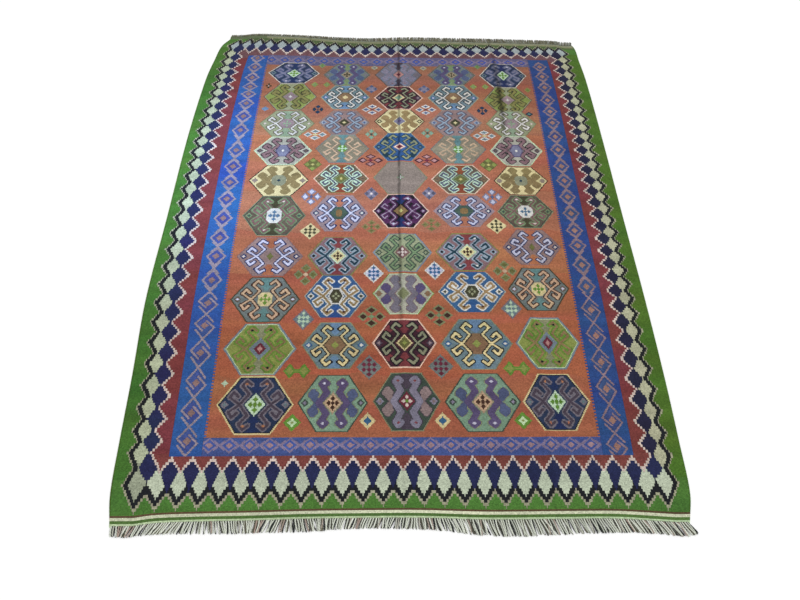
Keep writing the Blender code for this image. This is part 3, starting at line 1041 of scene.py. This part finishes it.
across, along = cloth["cellsPerFace"]
facesAcross, facesAlong = columnsOfCells // across, rowsOfCells // along
lineU = np.linspace(-halfWidth, halfWidth, facesAcross + 1)
lineV = np.linspace(-halfLength, halfLength, facesAlong + 1)
gridU, gridV = np.meshgrid(lineU, lineV)
floorX, floorY = onFloor(gridU, gridV)
under = foldHeight(floorX, floorY)
topPoints = np.stack([floorX + shiftX, floorY + shiftY, under + cloth["thickness"]], -1)
underPoints = np.stack([floorX + shiftX, floorY + shiftY, under], -1)
perSide = (facesAcross + 1) * (facesAlong + 1)
points = np.concatenate([topPoints.reshape(-1, 3), underPoints.reshape(-1, 3)])

index = np.arange(perSide).reshape(facesAlong + 1, facesAcross + 1)
topFaces = np.stack([index[:-1, :-1], index[:-1, 1:], index[1:, 1:], index[1:, :-1]], -1).reshape(-1, 4)
underFaces = topFaces[:, ::-1] + perSide
# Each rim face: top start, top end, the face of the chart that it continues, and where in that
# face the yarns at its two ends are read, just inside the edge.
rim = []
low, high = 0.02, 0.98
for c in range(facesAcross):
    rim.append((index[0, c + 1], index[0, c], c, (0.0, low), (1.0, low)))
    last = (facesAlong - 1) * facesAcross + c
    rim.append((index[-1, c], index[-1, c + 1], last, (1.0, high), (0.0, high)))
for r in range(facesAlong):
    rim.append((index[r, 0], index[r + 1, 0], r * facesAcross, (low, 1.0), (low, 0.0)))
    last = r * facesAcross + facesAcross - 1
    rim.append((index[r + 1, -1], index[r, -1], last, (high, 0.0), (high, 1.0)))
rimFaces = np.array([(a, b, b + perSide, a + perSide) for a, b, *_ in rim])
faces = np.concatenate([topFaces, underFaces, rimFaces])

kilimMesh = bpy.data.meshes.new("kilimCloth")
kilimMesh.from_pydata(points.tolist(), [], faces.tolist())
kilimCloth = addObject("kilimCloth", kilimMesh)
kilimMesh.polygons.foreach_set("use_smooth", [True] * len(faces))
kilimMesh.set_sharp_from_angle(angle=math.radians(60))

faceCodes = codes.reshape(facesAlong, along, facesAcross, across).transpose(0, 2, 1, 3)
faceCodes = faceCodes.reshape(-1, along, across)
chartFace = np.concatenate([np.arange(len(topFaces)), np.arange(len(topFaces)), [r[2] for r in rim]])
for k in range(along):
    addLayer(kilimMesh, f"yarnRow{k}", "FLOAT_VECTOR", "FACE", faceCodes[chartFace, k])

# UV maps: place inside the face, place on the cloth in metres, and the layout for baking
square = np.array([(0, 0), (1, 0), (1, 1), (0, 1)], float)
cellPlace = [np.tile(square, (len(topFaces), 1)), np.tile(square[::-1], (len(topFaces), 1))]
cellPlace.append(np.array([(end, start, start, end) for *_, start, end in rim]).reshape(-1, 2))
clothPlace = np.stack([gridU, gridV], -1).reshape(-1, 2)
vertexPlace = np.concatenate([clothPlace, clothPlace])
cornerPlace = vertexPlace[faces.ravel()]
share = (cornerPlace + [halfWidth, halfLength]) / [2 * halfWidth, 2 * halfLength]
corners = len(topFaces) * 4
rimShare = np.tile([(0.0, 1.0), (1.0, 1.0), (1.0, 0.0), (0.0, 0.0)], (len(rim), 1))
rimShare[:, 0] = (rimShare[:, 0] + np.repeat(np.arange(len(rim)), 4)) / len(rim)
bakeMargin = 0.002
bakeAreas = (  # of the top, the underside and the rim: corners, where the area starts, how tall it is
    (share[:corners], bakeMargin, 0.80),
    (share[corners:2 * corners], 0.808, 0.17),
    (rimShare, 0.985, 0.012),
)
bakePlace = np.concatenate([
    part * [1.0 - 2.0 * bakeMargin, tall] + [bakeMargin, start] for part, start, tall in bakeAreas])
uvMaps = (("OFBake", bakePlace), ("cell", np.concatenate(cellPlace)), ("cloth", cornerPlace))
for name, values in uvMaps:
    layer = kilimMesh.uv_layers.new(name=name)
    layer.uv.foreach_set("vector", values.astype(np.float32).ravel())

# how much painted glare, a bluish-white reflection, each part takes, 0 to 1: most at the left, past the
# middle
glareColumns = ("along", "left", "middle", "right")
paintedGlare = (
    (-1.44, 0.00, 0.00, 0.00),
    (-1.00, 0.00, 0.02, 0.00),
    (-0.72, 0.02, 0.06, 0.00),
    (-0.43, 0.30, 0.20, 0.00),
    (-0.14, 0.75, 0.40, 0.05),
    (0.14, 1.00, 0.60, 0.03),
    (0.43, 1.00, 0.52, 0.08),
    (0.72, 0.80, 0.47, 0.08),
    (1.01, 0.40, 0.15, 0.00),
    (1.44, 0.00, 0.00, 0.00),
)
toSide = softStep(np.abs(gridU) / 0.9)  # 1 where the side columns of the table hold
glareAmount = readTable(paintedGlare, glareColumns, "middle", gridV) * (1.0 - toSide)
glareAmount += np.where(gridU < 0.0, readTable(paintedGlare, glareColumns, "left", gridV),
                   readTable(paintedGlare, glareColumns, "right", gridV)) * toSide
addLayer(kilimMesh, "glareAmount", "FLOAT", "POINT", [glareAmount, glareAmount])
kilimMesh.validate()
kilimMesh.update()
print("cloth made,", len(faces), "faces")

# Wool: handspun, dyed in small lots, and packed down hard in weft-faced tapestry.
# To the eye: matt colour with hardly any bloom, ribs over the warps, short weft beads across
# them, and each colour drifting in bands as one dye lot follows another.

wool = {
    "weftPitch": 0.001165,  # three wefts to a chart cell
    "warpPitch": cellWidth,
    "beadDepth": 0.00035,
    "ribShare": 1.2,  # relief of a rib, of a fibre and of a slit, where a bead's is 1
    "fibreShare": 0.5,
    "slitShare": -2.0,
    "reliefStrength": 0.4,
    "fibreScale": 900.0,  # fibres of about 1.1 mm, drawn coarse so that they show
    "roughness": (0.85, 0.96),
    "specular": 0.11,
    "ior": 1.54,  # keratin
    "sheen": 0.04,
    "sheenRoughness": 0.5,
    "lotsPerMetre": (1.3, 16.0, 0.0),  # across and along
    "lotContrast": 0.17,  # how far a dye lot drifts
    "hueDrift": 0.010,
    "hueScale": 0.45,  # hue drifts this much more slowly than shade
    "heather": 0.18,  # how unlike neighbouring weft beads are
    "grain": 0.21,  # how unlike neighbouring cells are
    "soiling": 0.06,  # how far the soiled patches go
    "soilScale": 3.1,  # patches per metre
    "slitWidth": 0.10,  # share of a cell
    "slitShade": 0.35,
    "glareTint": (1.45, 1.70, 2.10, 1.0),  # what full painted glare does to a dye
    # the painted shade along the creases: how it wanders, streaks, sets in and dies out
    "creaseWander": 0.004,
    "wanderScale": 9.0,
    "creaseStreaks": (0.55, 1.10),
    "streakScale": 17.0,
    "creaseStart": (-0.08, 0.12),  # over what stretch a crease sets in, and dies out
    "creaseEnd": (-0.15, 0.05),
}
# Painted shade along the folded-in creases, each over a stretch of the rug: place at the near and at the
# far end, reach to each side, start, end, strength.
creaseShades = (
    (0.0035, 0.0035, 0.0125, -0.62, 1.60, 0.60),
    (0.5440, 0.5500, 0.0130, 0.36, 1.60, 0.40),
    (0.5440, 0.5520, 0.0300, 0.66, 1.26, 0.62),
    (-0.5000, -0.5300, 0.0130, 0.30, 1.60, 0.26),
    (0.5500, 0.5500, 0.0120, -1.70, 0.40, 0.12),
    (0.0035, 0.0035, 0.0120, -1.70, -0.60, 0.12),
)


def newMaterial(name):
    material = bpy.data.materials.new(name)
    material.use_nodes = True
    material.node_tree.nodes.clear()
    return material, material.node_tree


def calc(tree, operation, *values):
    # one sum on numbers or sockets
    return addNode(tree, "Math", dict(enumerate(values)), operation=operation)


def noise(tree, place, scale, detail):
    return addNode(tree, "TexNoise", {"Vector": place, "Scale": scale, "Detail": detail})


def stretch(tree, value, low, high, start=0.3, end=0.7, **settings):
    # lays the values between start and end over low to high; a noise's lie within 0.3 to 0.7
    return addNode(tree, "MapRange", {0: value, 1: start, 2: end, 3: low, 4: high}, **settings)


def unevenness(tree, value, contrast, **settings):
    # a shade of 1, give or take the contrast
    return stretch(tree, value, 1.0 - contrast, 1.0 + contrast, **settings)


def humps(tree, turns):
    # one round hump for every whole turn
    return calc(tree, "ABSOLUTE", calc(tree, "SINE", calc(tree, "MULTIPLY", turns, math.pi)))


clothWool, tree = newMaterial("Handspun dyed wool, weft-faced weave")

# the yarn's number and its slits, picked by the cell of the chart in which a point lies
cellUv = addNode(tree, "UVMap", {}, uv_map="cell")
cellX = addNode(tree, "SeparateXYZ", {0: cellUv})
cellY = cellX.node.outputs["Y"]
picked = addNode(tree, "Attribute", {}, "Vector", attribute_name="yarnRow0")
for k in range(1, along):
    yarnRow = addNode(tree, "Attribute", {}, "Vector", attribute_name=f"yarnRow{k}")
    isPast = calc(tree, "GREATER_THAN", cellY, k / along)
    picked = addNode(tree, "Mix", {0: isPast, 4: picked, 5: yarnRow}, 1, data_type="VECTOR")
code = addNode(tree, "SeparateXYZ", {0: picked})
columnCodes = code.node.outputs
for k in range(1, across):
    isPast = calc(tree, "GREATER_THAN", cellX, k / across)
    code = addNode(tree, "Mix", {0: isPast, 2: code, 3: columnCodes[k]})
code = calc(tree, "ADD", code, 0.01)
yarn = calc(tree, "FLOOR", calc(tree, "MODULO", code, float(yarnLimit)))
slitCode = calc(tree, "FLOOR", calc(tree, "DIVIDE", code, float(yarnLimit)))

# its dye, from ramps of 32 dyes each, the most that a ramp holds
dyeColour = None
stopsPerRamp = 32
for first in range(0, len(dyes), stopsPerRamp):
    place = calc(tree, "MULTIPLY_ADD", yarn, 1.0 / stopsPerRamp, (0.5 - first) / stopsPerRamp)
    ramp = addNode(tree, "ValToRGB", {0: place})
    ramp.node.color_ramp.interpolation = "CONSTANT"
    names = list(dyes)[first:first + stopsPerRamp]
    setStops(ramp, [(k / stopsPerRamp, dyes[name]) for k, name in enumerate(names)])
    if dyeColour is None:
        dyeColour = ramp
    else:
        isLater = calc(tree, "GREATER_THAN", yarn, first - 0.5)
        dyeColour = addNode(tree, "Mix", {0: isLater, 6: dyeColour, 7: ramp}, 2, data_type="RGBA")

# dye lots: bands along the wefts, different for each yarn
clothUv = addNode(tree, "UVMap", {}, uv_map="cloth")
placeU = addNode(tree, "SeparateXYZ", {0: clothUv})
placeV = placeU.node.outputs["Y"]
yarnShift = addNode(tree, "CombineXYZ", {2: yarn})
lotPlace = addNode(tree, "VectorMath", {0: clothUv, 1: wool["lotsPerMetre"], 2: yarnShift},
                   operation="MULTIPLY_ADD")
lotShade = unevenness(tree, noise(tree, lotPlace, 1.0, 3.0), wool["lotContrast"])

# heather: every weft bead takes the dye a little differently, and so does every few of them
warp = calc(tree, "DIVIDE", placeU, wool["warpPitch"])
weft = calc(tree, "DIVIDE", placeV, wool["weftPitch"])
warpNumber = calc(tree, "FLOOR", warp)
weftShifted = calc(tree, "MULTIPLY_ADD", warpNumber, 0.5, weft)
weftNumber = calc(tree, "FLOOR", weftShifted)
beadPlace = addNode(tree, "CombineXYZ", {0: warpNumber, 1: weftNumber})
bead = addNode(tree, "TexWhiteNoise", {"Vector": beadPlace}, noise_dimensions="2D")
beadShade = unevenness(tree, bead, wool["heather"], start=0.0, end=1.0)
cellRow = calc(tree, "FLOOR", calc(tree, "DIVIDE", placeV, cellHeight))
cellPlaceHere = addNode(tree, "CombineXYZ", {0: warpNumber, 1: cellRow, 2: 7.0})  # any third number
grain = addNode(tree, "TexWhiteNoise", {"Vector": cellPlaceHere}, noise_dimensions="3D")
grainShade = unevenness(tree, grain, wool["grain"], start=0.0, end=1.0)

# slits: a hairline of painted shadow where two colours meet along a warp
inCell = calc(tree, "FRACT", calc(tree, "MULTIPLY", cellX, float(across)))
openRight = calc(tree, "MODULO", slitCode, 2.0)
openLeft = calc(tree, "GREATER_THAN", slitCode, 1.5)
nearRight = calc(tree, "GREATER_THAN", inCell, 1.0 - wool["slitWidth"])
nearLeft = calc(tree, "LESS_THAN", inCell, wool["slitWidth"])
atRight = calc(tree, "MULTIPLY", openRight, nearRight)
atLeft = calc(tree, "MULTIPLY", openLeft, nearLeft)
inSlit = calc(tree, "MAXIMUM", atRight, atLeft)
slitShade = stretch(tree, inSlit, 1.0, wool["slitShade"], start=0.0, end=1.0)

# soiled patches, then painted shade along the creases
patchShade = unevenness(tree, noise(tree, clothUv, wool["soilScale"], 4.0), wool["soiling"])
shades = [lotShade, beadShade, grainShade, slitShade, patchShade]
wander = noise(tree, clothUv, wool["wanderScale"], 2.0)
wander = stretch(tree, wander, -wool["creaseWander"], wool["creaseWander"])
wandered = calc(tree, "ADD", placeU, wander)
streak = noise(tree, clothUv, wool["streakScale"], 2.0)
streak = stretch(tree, streak, *wool["creaseStreaks"], start=0.35, end=0.65)
setIn, setOut = wool["creaseStart"]
dieIn, dieOut = wool["creaseEnd"]
for nearU, farU, reach, start, end, strength in creaseShades:
    line = stretch(tree, placeV, nearU, farU, start=-halfLength, end=halfLength)
    offset = calc(tree, "ABSOLUTE", calc(tree, "SUBTRACT", wandered, line))
    dark = stretch(tree, offset, 1.0, 0.0, start=0.0, end=reach, interpolation_type="SMOOTHERSTEP")
    depth = stretch(tree, placeV, 0.0, strength, start=start + setIn, end=start + setOut)
    ending = stretch(tree, placeV, 1.0, 0.0, start=end + dieIn, end=end + dieOut)
    for factor in (depth, ending, streak):
        dark = calc(tree, "MULTIPLY", dark, factor)
    shades.append(calc(tree, "SUBTRACT", 1.0, dark))
shade = shades[0]
for factor in shades[1:]:
    shade = calc(tree, "MULTIPLY", shade, factor)
# painted glare: a bluish-white reflection multiplied into the dye where the table puts it
glareHere = addNode(tree, "Attribute", {}, "Fac", attribute_name="glareAmount")
colourWithGlare = addNode(tree, "Mix", {0: glareHere, 6: dyeColour, 7: wool["glareTint"]}, 2,
                      data_type="RGBA", blend_type="MULTIPLY", clamp_result=True)
hue = noise(tree, lotPlace, wool["hueScale"], 1.0)
hue = stretch(tree, hue, 0.5 - wool["hueDrift"], 0.5 + wool["hueDrift"])
woolColour = addNode(tree, "HueSaturation", {"Hue": hue, "Value": shade, "Color": colourWithGlare})

# relief: ribs over the warps and beads of weft, out of step from one warp to the next
relief = calc(tree, "MULTIPLY_ADD", humps(tree, warp), wool["ribShare"], humps(tree, weftShifted))
fibre = noise(tree, clothUv, wool["fibreScale"], 2.0)
relief = calc(tree, "MULTIPLY_ADD", fibre, wool["fibreShare"], relief)
relief = calc(tree, "MULTIPLY_ADD", inSlit, wool["slitShare"], relief)
normal = addNode(tree, "Bump", {
    "Height": relief, "Strength": wool["reliefStrength"], "Distance": wool["beadDepth"]})
woolShader = addNode(tree, "BsdfPrincipled", {
    "Base Color": woolColour,
    "Roughness": stretch(tree, fibre, *wool["roughness"]),
    "IOR": wool["ior"],
    "Normal": normal,
    "Specular IOR Level": wool["specular"],
    "Sheen Weight": wool["sheen"],
    "Sheen Roughness": wool["sheenRoughness"],
})
addNode(tree, "OutputMaterial", {"Surface": woolShader})
kilimMesh.materials.append(clothWool)
print("cloth's wool set,", len(shades), "shades")

# Fringe: the warps, twisted in groups.

fringe = {
    "strands": 230,  # in each of two layers: pale ones over lower ones, coloured dark as painted shade
    "radius": 0.0030,
    "radiusSpread": (0.88, 1.10),
    "lengthSpread": (0.94, 1.04),
    "leanSpread": 0.12,
    "bend": 0.22,
    "lifts": (0.0008, 0.0016, 0.0024),  # how high a pale strand rises over the lower ones
    "arch": (0.15, 0.75),  # where on a half wave its rise starts, and how much of it follows
    "rootRise": 0.0006,
    "taperPlaces": (0.0, 0.10, 0.20, 0.86, 1.0),
    "taper": (0.95, 1.10, 0.95, 0.95, 0.55),  # a knot at the root, a thin tip
    "plyDepth": 0.30,  # how deep the groove between the two plies is, as a share
    "twistPitch": 0.020,  # one full turn
    "rings": 12,
    "sidesOfRing": 8,
    "rootInset": 0.003,
    "edgeInset": 0.006,  # from the selvedge to the first strand
    "placeSpread": 0.0012,
    "nearTones": ((0.0, 0.60), (0.86, 1.0)),  # ranges of the tone ramp: pale strands, lower ones in the dark tones of painted shade
    "farTones": ((0.62, 0.88), (0.80, 0.92)),
    "seed": 11,
}
fringeColumns = ("across", "length", "lean")
nearFringe = (
    (-1.020, 0.034, 0.25),
    (-0.980, 0.034, 0.10),
    (-0.920, 0.036, -0.45),
    (-0.780, 0.038, -0.60),
    (-0.620, 0.041, 0.30),
    (-0.450, 0.041, -0.40),
    (-0.340, 0.042, 0.30),
    (-0.180, 0.034, -0.35),
    (0.000, 0.035, -0.20),
    (0.120, 0.040, 0.30),
    (0.220, 0.049, 0.35),
    (0.360, 0.055, 0.30),
    (0.510, 0.051, 0.40),
    (0.690, 0.046, 0.45),
    (0.860, 0.043, 0.60),
    (0.960, 0.046, 0.62),
    (1.000, 0.030, 0.75),
)
farFringe = (
    (-1.00, 0.013, -0.10),
    (-0.60, 0.016, 0.20),
    (-0.20, 0.029, -0.15),
    (0.20, 0.034, 0.20),
    (0.60, 0.037, -0.20),
    (1.00, 0.033, 0.10),
)
ringShare = np.linspace(0.0, 1.0, fringe["rings"])
ringAngles = np.linspace(0.0, 2.0 * math.pi, fringe["sidesOfRing"], endpoint=False)


def twistedRings(path, radius, turn):
    # rings of two plies round a path, and for each point how far out on its ply it lies
    tangent = np.gradient(path, axis=0)
    tangent /= np.linalg.norm(tangent, axis=1)[:, None]
    sideways = np.cross(tangent, [0.0, 0.0, 1.0])
    sideways /= np.linalg.norm(sideways, axis=1)[:, None]
    upwards = np.cross(sideways, tangent)
    steps = np.linalg.norm(np.diff(path, axis=0), axis=1)
    travelled = np.concatenate([[0.0], np.cumsum(steps)])
    twist = turn + 2.0 * math.pi * travelled / fringe["twistPitch"]
    lobe = np.cos(2.0 * (ringAngles[None, :] - twist[:, None]))
    taper = np.interp(ringShare, fringe["taperPlaces"], fringe["taper"])
    size = radius * taper[:, None] * (1.0 - 0.5 * fringe["plyDepth"] + 0.5 * fringe["plyDepth"] * lobe)
    ring = (path[:, None, :] + sideways[:, None, :] * (np.cos(ringAngles)[None, :] * size)[..., None]
            + upwards[:, None, :] * (np.sin(ringAngles)[None, :] * size)[..., None])
    return ring.reshape(-1, 3), ((lobe + 1.0) / 2.0).ravel()


def ringFaces(start):
    # the sides of one strand and its two ends
    rings, perRing = fringe["rings"], fringe["sidesOfRing"]
    quads = []
    for r in range(start, start + (rings - 1) * perRing, perRing):
        for s in range(perRing):
            a, b = r + s, r + (s + 1) % perRing
            quads.append((a, b, b + perRing, a + perRing))
    root = tuple(start + s for s in reversed(range(perRing)))
    tip = tuple(start + (rings - 1) * perRing + s for s in range(perRing))
    return [*quads, root, tip]


def makeFringe(name, outward, table):
    dice = random.Random(fringe["seed"] + int(outward))
    paleTones, shadedTones = fringe["nearTones"] if outward < 0.0 else fringe["farTones"]
    count = 2 * fringe["strands"]
    edgeInset, rootInset, t = fringe["edgeInset"], fringe["rootInset"], ringShare
    archStart, archPart = fringe["arch"]
    vertices, quads, shades, tones = [], [], [], []
    for strand in range(count):
        isLower = strand % 2 == 1
        u = -halfWidth + edgeInset + (2.0 * halfWidth - 2.0 * edgeInset) * (strand + 0.5) / count
        u += dice.uniform(-fringe["placeSpread"], fringe["placeSpread"])
        x, y = (float(value) for value in onFloor(np.array(u), np.array(outward * halfLength)))
        length = float(readTable(table, fringeColumns, "length", x)) * dice.uniform(*fringe["lengthSpread"])
        lean = float(readTable(table, fringeColumns, "lean", x)) + dice.gauss(0.0, fringe["leanSpread"])
        bend = dice.uniform(-fringe["bend"], fringe["bend"])
        lift = dice.choice(fringe["lifts"]) * (0.0 if isLower else 1.0)
        radius = fringe["radius"] * dice.uniform(*fringe["radiusSpread"])
        turn = dice.uniform(0.0, math.pi)
        path = np.stack([
            x + shiftX + length * (lean * t + bend * (t * t - t)),
            y + shiftY + outward * ((length + rootInset) * t - rootInset),
            radius + fringe["rootRise"] * (1.0 - t) + lift * np.sin(math.pi * (archStart + archPart * t)),
        ], -1)
        ring, ply = twistedRings(path, radius, turn)
        quads.extend(ringFaces(len(vertices)))
        vertices.extend(ring.tolist())
        shades.extend(ply.tolist())
        tones.extend([dice.uniform(*(shadedTones if isLower else paleTones))] * len(ply))
    mesh = bpy.data.meshes.new(name)
    mesh.from_pydata(vertices, [], quads)
    mesh.polygons.foreach_set("use_smooth", [True] * len(quads))
    addLayer(mesh, "ply", "FLOAT", "POINT", shades)
    addLayer(mesh, "strandTone", "FLOAT", "POINT", tones)
    mesh.validate()
    mesh.update()
    return addObject(name, mesh)


fringeNear = makeFringe("fringeNear", -1.0, nearFringe)
fringeFar = makeFringe("fringeFar", 1.0, farFringe)
print("fringes made,", len(fringeNear.data.polygons), "faces each")

# Undyed wool, hand twisted: off-white to grey, with painted shade in the groove between the plies.
warpWool = {
    # the darkest tones, given to the lower strands, are painted shade
    "tones": ((0.0, "#f0f4e6"), (0.30, "#dde2d2"), (0.50, "#c2c7b9"), (0.58, "#b29c90"),
              (0.66, "#939a8f"), (0.76, "#89866f"), (0.86, "#6f6d5a"), (0.95, "#2e332f")),
    "roughness": (0.84, 0.95),
    "specular": 0.15,
    "grooveShade": 0.58,
    "fibreShades": (0.88, 1.10),
    "fibreScale": 700.0,  # fibres of about 1.4 mm, drawn coarse so that they show
    "fibreDepth": 0.0004,
    "reliefStrength": 0.5,
}
strandWool, tree = newMaterial("Undyed wool warp, hand twisted")
toneHere = addNode(tree, "Attribute", {}, "Fac", attribute_name="strandTone")
plyHere = addNode(tree, "Attribute", {}, "Fac", attribute_name="ply")
tones = addNode(tree, "ValToRGB", {0: toneHere})
setStops(tones, warpWool["tones"])
where = addNode(tree, "TexCoord", {}, "Object")
fibres = noise(tree, where, warpWool["fibreScale"], 3.0)
fibreShade = stretch(tree, fibres, *warpWool["fibreShades"])
# painted shade in the groove between the plies
grooveShade = stretch(tree, plyHere, warpWool["grooveShade"], 1.0, start=0.0, end=1.0)
strandShade = calc(tree, "MULTIPLY", fibreShade, grooveShade)
strandColour = addNode(tree, "HueSaturation", {"Value": strandShade, "Color": tones})
strandNormal = addNode(tree, "Bump", {
    "Height": fibres, "Strength": warpWool["reliefStrength"], "Distance": warpWool["fibreDepth"]})
strandShader = addNode(tree, "BsdfPrincipled", {
    "Base Color": strandColour,
    "Roughness": stretch(tree, fibres, *warpWool["roughness"]),
    "IOR": wool["ior"],
    "Normal": strandNormal,
    "Specular IOR Level": warpWool["specular"],
    "Sheen Weight": wool["sheen"],
})
addNode(tree, "OutputMaterial", {"Surface": strandShader})
fringeNear.data.materials.append(strandWool)
fringeFar.data.materials.append(strandWool)
print("fringes' wool set")

# Floor, light and camera.

studio = {
    "floor": "#fafafa",
    "floorReach": 14.0,
    "floorDrop": 0.0004,  # under the rug's underside, so that the two never lie in one plane
    "floorRoughness": (0.75, 0.9),
    "floorScale": 1.5,
    "world": 0.70,
    "keyStrength": 1.55,
    "keySoftness": 0.6,  # the light's angle in radians
    "keyFrom": (2.2, -1.2, 3.4),
}
floorMesh = bpy.data.meshes.new("studioFloor")
floorCorners = [(x * studio["floorReach"], y * studio["floorReach"], -studio["floorDrop"])
                for x, y in ((-1, -1), (1, -1), (1, 1), (-1, 1))]
floorMesh.from_pydata(floorCorners, [], [(0, 1, 2, 3)])
studioFloor = addObject("studioFloor", floorMesh)
# Rolled emulsion: white and matt, with no reflection to be seen.
floorPaint, tree = newMaterial("Matt white painted floor")
floorWhere = addNode(tree, "TexCoord", {}, "Object")
floorRough = noise(tree, floorWhere, studio["floorScale"], 2.0)
floorRough = stretch(tree, floorRough, *studio["floorRoughness"])
floorShader = addNode(tree, "BsdfPrincipled", {
    "Base Color": linear(studio["floor"]), "Roughness": floorRough})
addNode(tree, "OutputMaterial", {"Surface": floorShader})
floorMesh.materials.append(floorPaint)

world = bpy.data.worlds.new("softStudio")
world.use_nodes = True
background = world.node_tree.nodes["Background"]
background.inputs["Color"].default_value = (1.0, 1.0, 1.0, 1.0)
background.inputs["Strength"].default_value = studio["world"]
scene.world = world
scene.view_settings.view_transform = "Standard"

light = bpy.data.lights.new("softWindow", "SUN")
light.energy = studio["keyStrength"]
light.angle = studio["keySoftness"]
lamp = addObject("softWindow", light)
lamp.location = studio["keyFrom"]
lamp.rotation_euler = (-Vector(studio["keyFrom"])).to_track_quat("-Z", "Y").to_euler()

camera = {
    "place": (-0.0402, -2.2861, 2.4),  # before the shift to the solid's own middle
    "lens": 31.5,
    "sensor": 36.0,
    "right": (0.99991, -0.00795, 0.01057),
    "up": (0.0, 0.79930, 0.60094),
    "forward": (0.01322, 0.60088, -0.79923),
}
lens = bpy.data.cameras.new("photoCamera")
lens.lens = camera["lens"]
lens.sensor_width = camera["sensor"]
photoCamera = addObject("photoCamera", lens)
axes = Matrix((camera["right"], camera["up"], [-value for value in camera["forward"]])).transposed()
photoCamera.matrix_world = Matrix.Translation(
    Vector(camera["place"]) + Vector((shiftX, shiftY, 0.0))) @ axes.to_4x4()
scene.camera = photoCamera
print("floor, light and camera set")

# Each piece, hung from the root body in place of its CAD part.

for piece, node, slot in (
    (kilimCloth, "kilim", "woven_wool"),
    (fringeNear, "fringe_near", "fringe_wool"),
    (fringeFar, "fringe_far", "fringe_wool"),
):
    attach(piece, "root")
    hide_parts(node)
